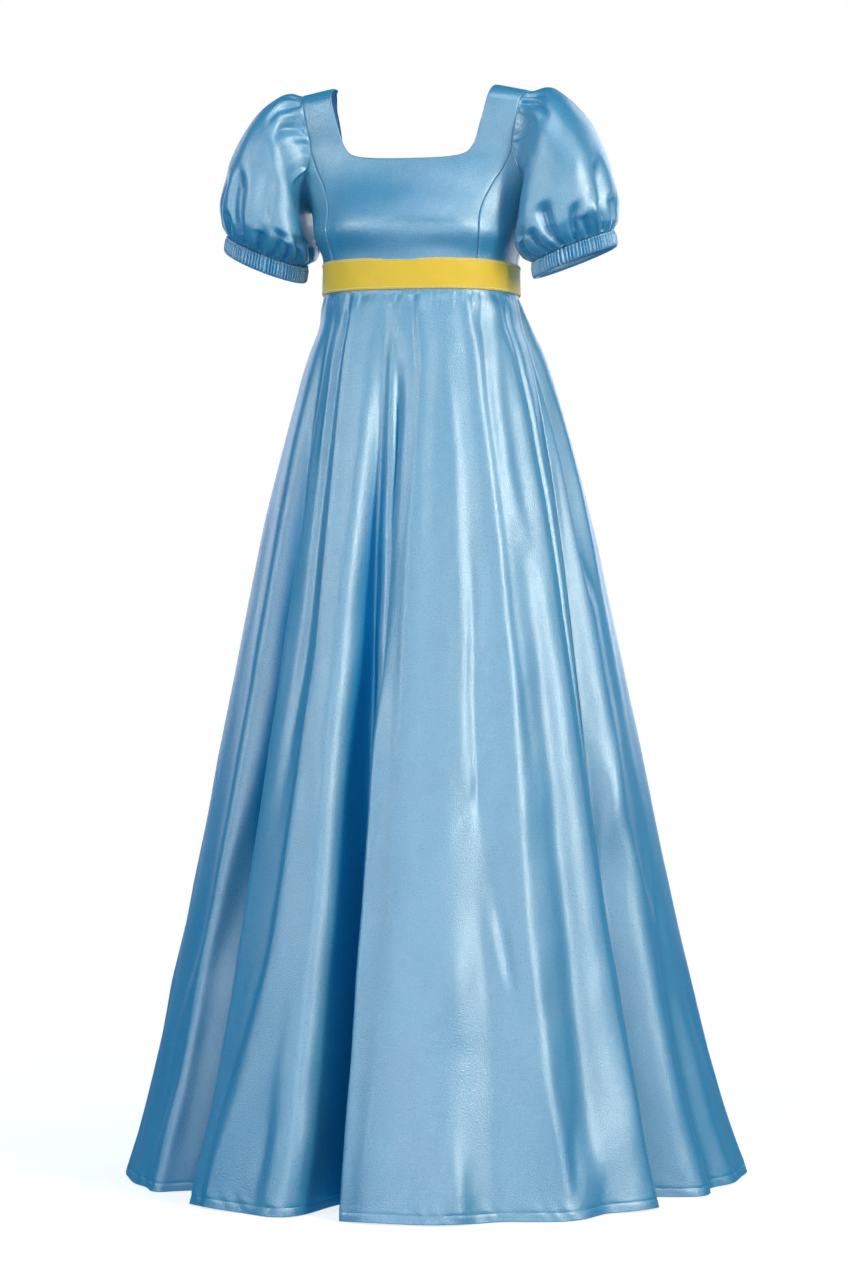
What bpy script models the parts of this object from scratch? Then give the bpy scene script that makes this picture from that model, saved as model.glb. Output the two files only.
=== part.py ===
"""A regency gown in satin, filled out as if worn, with nobody in it.

Square-necked bodice with princess seams, two puffed sleeves gathered into elastic cuffs, a ribbon round the
high waist and a floor-length skirt that hangs in deep folds. Metres, +Z up, front towards -Y and the wearer's
left towards +X. The origin lies midway between the shoulders, level with the middle of the shoulder seams,
where the wearer holds the gown up.

Every piece of cloth is a lattice of points on one smooth form, closed to a thin wall with Solidify.
Angles go round the body from 0 at the centre front, through 90 at the wearer's left side, to 180 at the back.
"""

from collections import namedtuple

import bmesh
import bpy
import numpy as np

# Driving dimensions.
GOWN_LENGTH = 1.412  # shoulder line to hem
WAIST_DROP = 0.246  # shoulder line to the waist seam, under the ribbon
RIBBON_WIDTH = 0.040
CUFF_WIDTH = 0.020
WALL = 0.0012  # one layer of cloth
RIBBON_WALL = 0.0012
CUFF_WALL = 0.0022  # elastic between two layers
SEAM_GAP = 0.0003  # between pieces that are sewn to each other
SHOULDER_SLOPE = 0.20  # fall of the shoulder seam for each metre outwards
SHOULDER_MIDDLE = 0.131  # distance of the middle of the shoulder seam from the centre
SHOULDER_LEAN = 0.022  # how much lower the wearer's left shoulder rides, for each metre across
LEAN_TOP, LEAN_FOOT = 0.19, 0.30  # drops between which the lean dies away
OVAL = 0.04  # how far the body's cross-section is from an ellipse towards a rounded box
BUST_FULLNESS = 0.010
BUST_APART = 0.066  # of each fullest point from the centre front
BUST_DROP = 0.169
BUST_SPREAD = 0.044
BUST_HEIGHT = 0.036
BUST_FOOT, RIBBON_EDGE = 0.235, 0.272  # distances along the cloth between which the bust dies away

# Counts of what is gathered, and how deep.
FRONT_GATHERS = 22  # along the top of the front skirt
BACK_GATHERS = 13  # along the top of each back skirt
SLEEVE_GATHERS = 24  # round each sleeve, into the cuff and over the top of the armhole
CUFF_RIBS = 56
SKIRT_GATHER_DEPTH = 0.0017
SLEEVE_GATHER_DEPTH = 0.0024
HEAD_GATHER_DEPTH = 0.0022
RIB_HEIGHT = 0.0018

# The body's form, down from the shoulder seam: distance along the cloth, then the size there.
Level = namedtuple("Level", "path drop half_width front back middle")
LEVELS = (
    Level(0.000, 0.0000, 0.2070, 0.000, 0.000, 0.000),
    Level(0.014, 0.0004, 0.2065, 0.015, 0.015, 0.000),
    Level(0.030, 0.0040, 0.2050, 0.032, 0.034, 0.001),
    Level(0.058, 0.0195, 0.2010, 0.052, 0.056, 0.003),
    Level(0.090, 0.0485, 0.1930, 0.060, 0.072, 0.008),
    Level(0.120, 0.0775, 0.1800, 0.065, 0.080, 0.014),
    Level(0.150, 0.1050, 0.1660, 0.076, 0.083, 0.018),
    Level(0.180, 0.1320, 0.1540, 0.089, 0.086, 0.020),
    Level(0.215, 0.1630, 0.1440, 0.101, 0.087, 0.020),
    Level(0.245, 0.1930, 0.1355, 0.107, 0.085, 0.020),
    Level(0.274, 0.2220, 0.1270, 0.108, 0.081, 0.020),
    Level(0.298, 0.2460, 0.1270, 0.108, 0.081, 0.020),
    Level(0.324, 0.2720, 0.1270, 0.108, 0.081, 0.020),
)
WAIST_PATH = 0.298
SLOPE_END = 0.145  # distance along the cloth at which the shoulder's slope has died away

# Edges of the bodice's pieces, as places on the form: across is the distance from the centre line.
EdgePoint = namedtuple("EdgePoint", "across path")
FRONT_NECK = (
    EdgePoint(0.0000, 0.1383),
    EdgePoint(0.0300, 0.1378),
    EdgePoint(0.0570, 0.1360),
    EdgePoint(0.0765, 0.1310),
    EdgePoint(0.0870, 0.1180),
    EdgePoint(0.0955, 0.0930),
    EdgePoint(0.1040, 0.0590),
    EdgePoint(0.1075, 0.0280),
    EdgePoint(0.1090, 0.0000),
)
BACK_NECK = (
    EdgePoint(0.0000, 0.1450),
    EdgePoint(0.0400, 0.1446),
    EdgePoint(0.0800, 0.1420),
    EdgePoint(0.1070, 0.1330),
    EdgePoint(0.1190, 0.1200),
    EdgePoint(0.1255, 0.0930),
    EdgePoint(0.1255, 0.0590),
    EdgePoint(0.1195, 0.0280),
    EdgePoint(0.1090, 0.0000),
)
NECK_CORNER = 3  # the row of each neckline where its lower edge turns up into the strap
PRINCESS = (  # from below the armhole, whose own row comes first, to the waist
    EdgePoint(0.1260, 0.1500),
    EdgePoint(0.1130, 0.1760),
    EdgePoint(0.1035, 0.2060),
    EdgePoint(0.0975, 0.2400),
    EdgePoint(0.0950, 0.2980),
)

# The armhole from the shoulder seam to the underarm: angles from the centre front, or from the centre back.
HolePoint = namedtuple("HolePoint", "angle path")
FRONT_ARMHOLE = (
    HolePoint(43.5, 0.0000),
    HolePoint(42.6, 0.0300),
    HolePoint(41.6, 0.0600),
    HolePoint(41.8, 0.0950),
    HolePoint(45.0, 0.1250),
    HolePoint(51.5, 0.1440),
    HolePoint(61.5, 0.1640),
    HolePoint(75.0, 0.1860),
    HolePoint(90.0, 0.2020),
)
BACK_ARMHOLE = (
    HolePoint(43.5, 0.0000),
    HolePoint(43.4, 0.0300),
    HolePoint(43.6, 0.0600),
    HolePoint(44.4, 0.0950),
    HolePoint(47.4, 0.1250),
    HolePoint(53.0, 0.1440),
    HolePoint(62.5, 0.1640),
    HolePoint(75.5, 0.1860),
    HolePoint(90.0, 0.2020),
)
UNDERARM_WAY = (1.0, 0.0, -0.1)  # the way that the sleeve leaves the underarm
STRAP_END = 4  # the row of each armhole level with the foot of the strap
HOLE_END = len(FRONT_ARMHOLE) - 1

# The left sleeve's rings: top and underside as seen from the front, half the depth and its middle.
SleeveRing = namedtuple("SleeveRing", "along top_x top_z under_x under_z depth middle")
SLEEVE = (
    SleeveRing(0.00, 0.157, -0.004, 0.1480, -0.154, 0.060, 0.016),
    SleeveRing(0.12, 0.171, 0.003, 0.1530, -0.161, 0.065, 0.012),
    SleeveRing(0.28, 0.197, -0.011, 0.1520, -0.170, 0.073, 0.006),
    SleeveRing(0.45, 0.229, -0.047, 0.1480, -0.180, 0.079, 0.002),
    SleeveRing(0.62, 0.252, -0.097, 0.1435, -0.191, 0.081, -0.001),
    SleeveRing(0.78, 0.2645, -0.143, 0.1400, -0.204, 0.079, -0.001),
    SleeveRing(0.90, 0.2645, -0.168, 0.1415, -0.2175, 0.069, 0.000),
    SleeveRing(1.00, 0.2570, -0.1850, 0.1560, -0.2255, 0.051, 0.000),
)
SLEEVE_START = 0.20  # share of the sleeve that turns from the armhole's shape to its own
SLEEVE_SET = 0.012  # how far the sleeve first runs on in line with the bodice
CUFF_PITCH = 0.13  # how far the cuff's front hangs below its back, for each metre of depth
SLEEVE_OVAL = 0.09  # how far the sleeve's rings are from an ellipse towards a rounded box
SLEEVE_WRAP = 0.014  # how far the sleeve's front laps over the bodice
CUFF_SPLAY = 0.16  # how far the cuff moves outwards for each metre down

# The skirt's rings, before its folds: front and back are depths from the ring's middle.
SkirtRing = namedtuple("SkirtRing", "drop half_width front back middle oval")
SKIRT = (
    SkirtRing(0.246, 0.1270, 0.108, 0.081, 0.020, 0.040),
    SkirtRing(0.268, 0.1270, 0.108, 0.081, 0.020, 0.040),
    SkirtRing(0.282, 0.1310, 0.119, 0.089, 0.026, 0.038),
    SkirtRing(0.306, 0.1365, 0.141, 0.098, 0.040, 0.034),
    SkirtRing(0.339, 0.1510, 0.155, 0.112, 0.045, 0.028),
    SkirtRing(0.404, 0.1725, 0.171, 0.145, 0.047, 0.020),
    SkirtRing(0.535, 0.2080, 0.198, 0.188, 0.048, 0.010),
    SkirtRing(0.796, 0.2630, 0.248, 0.248, 0.048, 0.000),
    SkirtRing(1.057, 0.3135, 0.304, 0.306, 0.052, 0.000),
    SkirtRing(1.318, 0.3730, 0.368, 0.378, 0.060, 0.000),
    SkirtRing(1.412, 0.4020, 0.392, 0.408, 0.064, 0.000),
)
FOLD_TOP = 0.268  # the drop at which the folds begin, at the foot of the ribbon
FOLD_GROWTH = 1.15  # how the folds deepen towards the hem
TURN_FADE = 16.0  # how soon below the waist the cloth reaches the angle it has at the hem

# Where the cloth at each angle of the hem starts at the waist.
Turn = namedtuple("Turn", "hem waist")
TURNS = (
    Turn(0, 0),
    Turn(20, 25),
    Turn(42, 47),
    Turn(58, 72),
    Turn(68, 90),
    Turn(90, 112),
    Turn(135, 146),
    Turn(180, 180),
)
SIDE_SEAM = 68.0

# The folds: angle at the hem, depth there with outwards above zero, half-width in degrees, the share of the
# skirt above which the fold is missing, and how far its crest leans to the wearer's left.
Fold = namedtuple("Fold", "angle depth width start lean")
FOLDS = (
    Fold(-167, 0.020, 6.0, 0.0, 0.000),
    Fold(-153, -0.038, 6.0, 0.0, 0.004),
    Fold(-139, 0.020, 6.5, 0.0, 0.000),
    Fold(-126, -0.046, 6.0, 0.0, -0.004),
    Fold(-112, 0.016, 6.5, 0.0, 0.000),
    Fold(-99, -0.030, 5.5, 0.1, 0.000),
    Fold(-84, 0.008, 6.0, 0.0, 0.000),
    Fold(-68, 0.001, 6.0, 0.0, 0.000),
    Fold(-53, -0.009, 4.5, 0.0, 0.000),
    Fold(-40, -0.120, 4.4, 0.0, -0.002),
    Fold(-27, -0.002, 4.8, 0.0, -0.028),
    Fold(-14, 0.005, 4.0, 0.2, 0.000),
    Fold(-4.5, -0.134, 3.9, 0.0, -0.002),
    Fold(5, -0.004, 4.2, 0.0, -0.034),
    Fold(16, 0.007, 6.0, 0.0, 0.000),
    Fold(28, -0.008, 4.4, 0.1, 0.000),
    Fold(39, 0.011, 5.0, 0.0, 0.000),
    Fold(49, -0.012, 4.0, 0.0, 0.000),
    Fold(57, -0.004, 4.2, 0.0, 0.020),
    Fold(67.5, -0.062, 5.0, 0.0, 0.000),
    Fold(84, -0.018, 5.0, 0.0, 0.000),
    Fold(104, 0.011, 7.0, 0.0, 0.000),
    Fold(120, -0.042, 6.0, 0.1, 0.004),
    Fold(134, 0.020, 6.5, 0.0, 0.000),
    Fold(148, -0.034, 6.0, 0.0, -0.003),
    Fold(163, 0.022, 6.0, 0.0, 0.000),
    Fold(179, -0.046, 6.5, 0.0, 0.000),
)
SKIRT_DROPS = (0.246, 0.268, 0.283, 0.31, 0.36, 0.45, 0.57, 0.71, 0.88, 1.06, 1.24, 1.412)

SATIN_BLUE = (0.216, 0.434, 0.617, 1.0)
RIBBON_YELLOW = (0.82, 0.62, 0.09, 1.0)


def smooth(rows, key, value, at):
    """One column of a table read along another, on a smooth curve that never overshoots."""
    x = np.array([getattr(row, key) for row in rows], float)
    y = np.array([getattr(row, value) for row in rows], float)
    step = np.diff(x)
    rise = np.diff(y) / step
    same_way = rise[:-1] * rise[1:] > 0
    before = np.where(same_way, rise[:-1], 1.0)
    after = np.where(same_way, rise[1:], 1.0)
    first = 2 * step[1:] + step[:-1]
    second = step[1:] + 2 * step[:-1]
    slope = np.zeros(len(x))
    slope[0] = rise[0]
    slope[-1] = rise[-1]
    slope[1:-1] = np.where(same_way, (first + second) / (first / before + second / after), 0.0)
    at = np.clip(np.asarray(at, float), x[0], x[-1])
    i = np.clip(np.searchsorted(x, at, side="right") - 1, 0, len(step) - 1)
    t = (at - x[i]) / step[i]
    return (
        y[i] * (1 + 2 * t) * (1 - t) ** 2
        + slope[i] * step[i] * t * (1 - t) ** 2
        + y[i + 1] * t**2 * (3 - 2 * t)
        + slope[i + 1] * step[i] * t**2 * (t - 1)
    )


def ease(x):
    """0 below 0, 1 above 1, and smooth between."""
    x = np.clip(x, 0.0, 1.0)
    return x * x * (3 - 2 * x)


def oval_x(angle, oval):
    """Sideways reach of a rounded oval of half-width 1."""
    return (1 + oval) * np.sin(angle) + oval * np.sin(3 * angle)


def oval_y(angle, oval):
    """Forward reach of a rounded oval of depth 1."""
    return (1 + oval) * np.cos(angle) - oval * np.cos(3 * angle)


def leaned(points):
    """The points with the shoulders' lean."""
    fade = 1 - ease((-points[..., 2] - LEAN_TOP) / (LEAN_FOOT - LEAN_TOP))
    points = points.copy()
    points[..., 2] -= SHOULDER_LEAN * points[..., 0] * fade
    return points


def body(degrees, path):
    """Points of the body's form."""
    angle = np.radians(degrees)
    forward = oval_y(angle, OVAL)
    x = smooth(LEVELS, "path", "half_width", path) * oval_x(angle, OVAL)
    drop = smooth(LEVELS, "path", "drop", path)
    fullness = BUST_FULLNESS * np.exp(
        -(((np.abs(x) - BUST_APART) / BUST_SPREAD) ** 2) - ((drop - BUST_DROP) / BUST_HEIGHT) ** 2
    )
    fullness = fullness * (1 - ease((path - BUST_FOOT) / (RIBBON_EDGE - BUST_FOOT)))
    front = smooth(LEVELS, "path", "front", path) + fullness
    back = smooth(LEVELS, "path", "back", path)
    y = smooth(LEVELS, "path", "middle", path) - np.where(forward > 0, front, back) * forward
    slope = SHOULDER_SLOPE * (1 - ease(np.asarray(path) / SLOPE_END))
    z = -drop - slope * (np.abs(x) - SHOULDER_MIDDLE)
    return np.stack(np.broadcast_arrays(x, y, z), axis=-1)


def reach_at(degrees, path):
    """Distance from the centre line at this angle."""
    return smooth(LEVELS, "path", "half_width", path) * oval_x(np.radians(degrees), OVAL)


def angle_at(across, path):
    """Angle at which the form lies this far from its centre line."""
    angles = np.linspace(0.0, 90.0, 721)
    share = np.asarray(across) / smooth(LEVELS, "path", "half_width", path)
    return np.interp(share, oval_x(np.radians(angles), OVAL), angles)


def along_edge(edge, place):
    """Angle and path at a place on an edge, counted in its rows."""
    fields = edge[0]._fields
    numbered = namedtuple("Numbered", ("row",) + fields)
    rows = [numbered(i, *point) for i, point in enumerate(edge)]
    first = smooth(rows, "row", fields[0], place)
    path = smooth(rows, "row", "path", place)
    return (angle_at(first, path) if fields[0] == "across" else first), path


def princess_edge():
    """The princess seam from the armhole down."""
    top = FRONT_ARMHOLE[STRAP_END]
    return (EdgePoint(float(reach_at(top.angle, top.path)), top.path),) + PRINCESS


def patch(foot, head, start, end, columns, rows):
    """Angles and paths that fill four edges, each a function of 0 to 1 along it."""
    u, w = np.meshgrid(columns, rows)
    places = []
    for k in (0, 1):
        corner = {(a, b): (head if b else foot)(float(a))[k] for a in (0, 1) for b in (0, 1)}
        sides = (1 - w) * foot(u)[k] + w * head(u)[k] + (1 - u) * start(w)[k] + u * end(w)[k]
        corners = (
            (1 - u) * (1 - w) * corner[0, 0]
            + u * (1 - w) * corner[1, 0]
            + (1 - u) * w * corner[0, 1]
            + u * w * corner[1, 1]
        )
        places.append(sides - corners)
    return places


def straight(one, other):
    """An edge that runs straight from one place to another."""
    return lambda t: tuple(a + np.asarray(t, float) * (b - a) for a, b in zip(one, other))


def strap(neck, hole, columns, rows):
    """Angles and paths of a strap, from its foot to the shoulder seam and from the neck to the armhole."""
    corner = along_edge(neck, NECK_CORNER)
    armpit = along_edge(hole, STRAP_END)
    neck_top = along_edge(neck, len(neck) - 1)
    hole_top = along_edge(hole, 0)

    def inner(w):
        return along_edge(neck, NECK_CORNER + np.asarray(w) * (len(neck) - 1 - NECK_CORNER))

    def outer(w):
        return along_edge(hole, STRAP_END * (1 - np.asarray(w)))

    return patch(straight(corner, armpit), straight(neck_top, hole_top), inner, outer, columns, rows)


def below_neck(neck, hole, columns, rows, armhole_share, strap_share, seam):
    """Angles and paths of a panel below its neckline, from the centre line to a seam.

    The panel's head runs along the neckline, then the strap's foot, then down the armhole.
    """
    corner = along_edge(neck, NECK_CORNER)
    armpit = along_edge(hole, STRAP_END)
    neck_share = 1 - strap_share - armhole_share
    seam_foot = seam(0.0)

    def head(u):
        u = np.asarray(u, float)
        on_neck = along_edge(neck, np.clip(u / neck_share, 0, 1) * NECK_CORNER)
        share = np.clip((u - neck_share) / strap_share, 0, 1)
        on_strap = straight(corner, armpit)(share)
        past = np.clip((u - neck_share - strap_share) / max(armhole_share, 1e-9), 0, 1)
        on_hole = along_edge(hole, STRAP_END + past * (HOLE_END - STRAP_END))
        in_neck = u <= neck_share + 1e-9
        in_strap = u <= neck_share + strap_share + 1e-9
        return tuple(np.where(in_neck, on_neck[k], np.where(in_strap, on_strap[k], on_hole[k])) for k in (0, 1))

    foot = straight((0.0, WAIST_PATH), seam_foot)
    centre = straight((0.0, WAIST_PATH), (0.0, neck[0].path))
    return patch(foot, head, centre, seam, columns, rows)


def front_lattices(neck_columns, strap_columns, low_rows, strap_rows):
    """The centre front: its lower part, then its straps."""
    neck_share = 0.58
    columns = np.concatenate(
        [np.linspace(0, neck_share, neck_columns), np.linspace(neck_share, 1, strap_columns)[1:]]
    )
    edge = princess_edge()

    def seam(w):
        return along_edge(edge, (1 - np.asarray(w)) * (len(edge) - 1))

    low = body(*below_neck(FRONT_NECK, FRONT_ARMHOLE, columns, low_rows, 0.0, 1 - neck_share, seam))
    across, up = np.linspace(0, 1, strap_columns), np.linspace(0, 1, strap_rows)
    top = body(*strap(FRONT_NECK, FRONT_ARMHOLE, across, up))
    whole = np.concatenate([mirrored(low)[:, :-1], low], axis=1)
    return [trimmed(whole, "wes"), trimmed(top, "en"), trimmed(mirrored(top), "wn")]


def side_lattice(columns, rows):
    """The left side front, between the princess seam and the side seam."""
    edge = princess_edge()
    hole_foot = FRONT_ARMHOLE[-1]

    def seam(w):
        return along_edge(edge, (1 - np.asarray(w)) * (len(edge) - 1))

    def head(u):
        return along_edge(FRONT_ARMHOLE, STRAP_END + np.asarray(u) * (HOLE_END - STRAP_END))

    foot = straight(seam(0.0), (90.0, WAIST_PATH))
    side = straight((90.0, WAIST_PATH), (90.0, hole_foot.path))
    places = patch(foot, head, seam, side, np.linspace(0, 1, columns), rows)
    return trimmed(body(*places), "wesn")


def back_lattices(neck_columns, strap_columns, hole_columns, low_rows, strap_rows):
    """The left back: its lower part, then its strap."""
    neck_share, strap_share = 0.40, 0.24
    hole_share = 1 - neck_share - strap_share
    under_neck = np.linspace(0, neck_share, neck_columns)
    under_strap = np.linspace(neck_share, 1 - hole_share, strap_columns)
    under_hole = np.linspace(1 - hole_share, 1, hole_columns)
    columns = np.concatenate([under_neck, under_strap[1:], under_hole[1:]])
    side = straight((90.0, WAIST_PATH), (90.0, BACK_ARMHOLE[-1].path))
    low = below_neck(BACK_NECK, BACK_ARMHOLE, columns, low_rows, hole_share, strap_share, side)
    across, up = np.linspace(0, 1, strap_columns), np.linspace(0, 1, strap_rows)
    top = strap(BACK_NECK, BACK_ARMHOLE, across, up)
    low, top = (body(180.0 - angle, path)[:, ::-1] for angle, path in (low, top))
    corner = low.shape[1] - neck_columns - strap_columns + 1
    low = trimmed(low, "wes")
    under_hole = trimmed(low[:, :corner], "n")
    top = trimmed(top, "wn")
    low[-1, :corner] = under_hole[-1]
    low[-1, corner] = top[0, 0]
    return [low, top]


def trimmed(points, edges):
    """The lattice with the named edges drawn in by half a seam gap: west, east, south or north."""
    points = points.copy()
    sides = {
        "w": (np.s_[:, 0], np.s_[:, 1]),
        "e": (np.s_[:, -1], np.s_[:, -2]),
        "s": (np.s_[0], np.s_[1]),
        "n": (np.s_[-1], np.s_[-2]),
    }
    for edge in edges:
        rim, inner = sides[edge]
        inwards = points[inner] - points[rim]
        length = np.linalg.norm(inwards, axis=-1, keepdims=True)
        points[rim] += inwards / length * SEAM_GAP / 2
    return points


def mirrored(points):
    """The same lattice on the wearer's other side."""
    return points[:, ::-1] * np.array((-1.0, 1.0, 1.0))


def outward(points, closed):
    """Unit normals of a lattice whose columns run round and whose rows run downwards."""
    if closed:
        ring = points[:, :-1]
        round_it = np.roll(ring, -1, axis=1) - np.roll(ring, 1, axis=1)
        round_it = np.concatenate([round_it, round_it[:, :1]], axis=1)
    else:
        round_it = np.gradient(points, axis=1)
    normal = np.cross(np.gradient(points, axis=0), round_it)
    return normal / np.linalg.norm(normal, axis=-1, keepdims=True)


def armhole_points(turn):
    """The armhole where the sleeve starts, and the way that the bodice's cloth runs there.

    The turn goes from 0 at the shoulder seam, through 90 at the front and 180 at the underarm.
    """
    turn = np.asarray(turn, float) % 360.0
    in_front = turn <= 180.0
    place = np.where(in_front, turn, 360.0 - turn) / 180.0 * HOLE_END

    def at(spot, inset):
        front, back = (
            body_angle_inset(along_edge(hole, spot), spot, inset) for hole in (FRONT_ARMHOLE, BACK_ARMHOLE)
        )
        return np.where(in_front[..., None], body(*front), body(180.0 - back[0], back[1]))

    rim = at(place, 0.0)
    heading = rim - at(place, 1.0)
    heading /= np.linalg.norm(heading, axis=-1, keepdims=True)
    sideways = ease(place / STRAP_END - 0.8)[..., None]
    heading = heading * (1 - sideways) + np.array(UNDERARM_WAY) * sideways
    ahead = at(np.clip(place + 0.02, 0, HOLE_END), 0.0)
    behind = at(np.clip(place - 0.02, 0, HOLE_END), 0.0)
    along = (ahead - behind) / np.linalg.norm(ahead - behind, axis=-1, keepdims=True)
    heading -= along * (heading * along).sum(axis=-1, keepdims=True)
    return rim, heading / np.linalg.norm(heading, axis=-1, keepdims=True)


def body_angle_inset(edge_place, spot, inset):
    """An armhole place moved a little way into the bodice."""
    angle, path = edge_place
    inner_angle = angle - inset * ease(1.6 - spot / STRAP_END)
    inner_path = path + inset * 0.004 * ease(spot / STRAP_END - 0.3)
    return inner_angle, inner_path


def sleeve_ring(turn, along):
    """Points of the left sleeve's own form."""
    angle = np.radians(turn)
    top = [smooth(SLEEVE, "along", name, along) for name in ("top_x", "top_z")]
    under = [smooth(SLEEVE, "along", name, along) for name in ("under_x", "under_z")]
    swing = np.cos(angle)
    x = (top[0] + under[0]) / 2 + swing * (top[0] - under[0]) / 2
    lap = np.clip(np.sin(angle), 0, 1) * (1 - swing) / 2 * ease(along / 0.4) * (1 - ease((along - 0.75) / 0.25))
    x = x - SLEEVE_WRAP * lap
    reach = oval_x(angle, SLEEVE_OVAL * (1 - ease((along - 0.8) / 0.2)))
    y = smooth(SLEEVE, "along", "middle", along) - smooth(SLEEVE, "along", "depth", along) * reach
    z = (top[1] + under[1]) / 2 + swing * (top[1] - under[1]) / 2 + CUFF_PITCH * y * ease(along)
    return np.stack(np.broadcast_arrays(x, y, z), axis=-1)


def sleeve_lattice(columns, rows):
    """The left sleeve from the armhole to the cuff, before its gathers are pressed in."""
    turn, along = np.meshgrid(np.linspace(0, 360, columns), rows)
    rim, heading = armhole_points(turn)
    start = rim + heading * (SEAM_GAP / 2 + SLEEVE_SET * np.minimum(along / SLEEVE_START, 1)[..., None])
    blend = ease(along / SLEEVE_START)[..., None]
    form = start * (1 - blend) + sleeve_ring(turn, along) * blend
    over_top = ease((np.cos(np.radians(turn)) + 0.25) / 0.6)
    head = HEAD_GATHER_DEPTH * over_top * ease(along / 0.05) * (1 - ease((along - 0.10) / 0.25))
    cuff = SLEEVE_GATHER_DEPTH * ease((along - 0.66) / 0.24) * (1 - ease((along - 0.92) / 0.08))
    press = (head + cuff) * np.cos(np.radians(turn) * SLEEVE_GATHERS)
    return form - outward(form, True) * press[..., None]


BODICE_ROWS = np.array((0.0, 0.06, 0.12, 0.22, 0.34, 0.48, 0.62, 0.76, 0.89, 1.0))
SLEEVE_ROWS = (0.0, 0.03, 0.08, 0.16, 0.28, 0.42, 0.57, 0.72, 0.84, 0.94, 1.0)

# The cuff's cross-section: how far down it, how far out of the elastic's inner face and how much rib.
CuffPoint = namedtuple("CuffPoint", "down out rib")
CUFF = (
    CuffPoint(0.00, 0.0, 0.0),
    CuffPoint(0.00, 0.8, 0.3),
    CuffPoint(0.22, 1.0, 1.0),
    CuffPoint(0.78, 1.0, 1.0),
    CuffPoint(1.00, 0.8, 0.3),
    CuffPoint(1.00, 0.0, 0.0),
    CuffPoint(0.00, 0.0, 0.0),
)


def cuff_lattice(columns):
    """The left cuff, closed both ways: ribbed outside and plain inside."""
    turn = np.linspace(0, 360, columns)
    edge = sleeve_ring(turn, 1.0)
    middle = sleeve_ring(np.array((0.0, 180.0)), 1.0).mean(axis=0)
    spoke = edge - middle
    spoke /= np.linalg.norm(spoke, axis=-1, keepdims=True)
    down = np.array((CUFF_SPLAY, 0.0, -1.0))
    rib = (1 + np.cos(np.radians(turn) * CUFF_RIBS)) / 2
    inner = edge - spoke * WALL
    rows = []
    for point in CUFF:
        out = point.out * CUFF_WALL + point.rib * RIB_HEIGHT * rib
        drop = SEAM_GAP + 0.0006 + point.down * CUFF_WIDTH
        rows.append(inner + spoke * np.asarray(out)[:, None] + down * drop)
    return np.array(rows)


def skirt_points(hem_angle, drop):
    """Points of the skirt with its folds, for cloth that reaches the hem at these angles."""
    share = np.clip((drop - WAIST_DROP) / (GOWN_LENGTH - WAIST_DROP), 0, 1)
    fade = (1 - share) / (1 - share + TURN_FADE * share)
    waist_angle = np.sign(hem_angle) * smooth(TURNS, "hem", "waist", np.abs(hem_angle))
    angle = np.radians(hem_angle + (waist_angle - hem_angle) * fade)
    oval = smooth(SKIRT, "drop", "oval", drop)
    forward = oval_y(angle, oval)
    depth = np.where(forward > 0, smooth(SKIRT, "drop", "front", drop), smooth(SKIRT, "drop", "back", drop))
    x = smooth(SKIRT, "drop", "half_width", drop) * oval_x(angle, oval)
    y = smooth(SKIRT, "drop", "middle", drop) - depth * forward
    out = np.stack([np.sin(angle), -np.cos(angle)])
    along = np.stack([np.cos(angle), np.sin(angle)])
    fallen = np.clip((drop - FOLD_TOP) / (GOWN_LENGTH - FOLD_TOP), 0, 1)
    for fold in FOLDS:
        away = (hem_angle - fold.angle + 180.0) % 360.0 - 180.0
        grown = np.clip((fallen - fold.start) / (1 - fold.start), 0, 1) ** FOLD_GROWTH
        bell = np.exp(-((away / fold.width) ** 2)) * grown
        x = x + (out[0] * fold.depth + along[0] * fold.lean) * bell
        y = y + (out[1] * fold.depth + along[1] * fold.lean) * bell
    return np.stack(np.broadcast_arrays(x, y, -drop), axis=-1)


def skirt_lattice(start, end, gathers, columns, drops):
    """A skirt panel between two angles of the hem, gathered into the waist."""
    angles = np.linspace(start, end, columns)
    hem_angle, drop = np.meshgrid(angles, drops)
    points = skirt_points(hem_angle, drop)
    press = SKIRT_GATHER_DEPTH * ease((drop - FOLD_TOP) / 0.015) * (1 - ease((drop - FOLD_TOP - 0.015) / 0.12))
    press = press * np.cos(2 * np.pi * gathers * (hem_angle - start) / (end - start))
    points = points - outward(points, False) * press[..., None]
    return trimmed(points[::-1], "wen")


def ribbon_lattice(columns, rows):
    """The ribbon, laid over the waist seam just clear of the cloth beneath."""
    turn, share = np.meshgrid(np.linspace(-180, 180, columns), rows)
    path = WAIST_PATH + (share - 0.5) * RIBBON_WIDTH
    form = body(turn, path)
    return (form + outward(form, True) * (SEAM_GAP + RIBBON_WALL))[::-1]


def lay_lattice(bm, points):
    """Adds a grid to a bmesh with its vertices at these points."""
    rows, columns = points.shape[:2]
    made = bmesh.ops.create_grid(bm, x_segments=columns - 1, y_segments=rows - 1, size=1.0)
    for vertex in made["verts"]:
        column = round((vertex.co.x + 1) / 2 * (columns - 1))
        row = round((vertex.co.y + 1) / 2 * (rows - 1))
        vertex.co = points[row, column]


def piece(name, lattices, wall, material, collection):
    """A piece of cloth: lattices that share their edges, thickened inwards if they have a wall."""
    bm = bmesh.new()
    for points in lattices:
        lay_lattice(bm, leaned(points))
    bmesh.ops.remove_doubles(bm, verts=bm.verts, dist=1e-6)
    if not wall:
        bmesh.ops.recalc_face_normals(bm, faces=bm.faces)
    mesh = bpy.data.meshes.new(name)
    bm.to_mesh(mesh)
    bm.free()
    mesh.shade_smooth()
    mesh.materials.append(material)
    made = bpy.data.objects.new(name, mesh)
    collection.objects.link(made)
    if wall:
        solidify = made.modifiers.new("Wall", "SOLIDIFY")
        solidify.thickness = wall
        solidify.offset = -1.0
    return made


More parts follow.
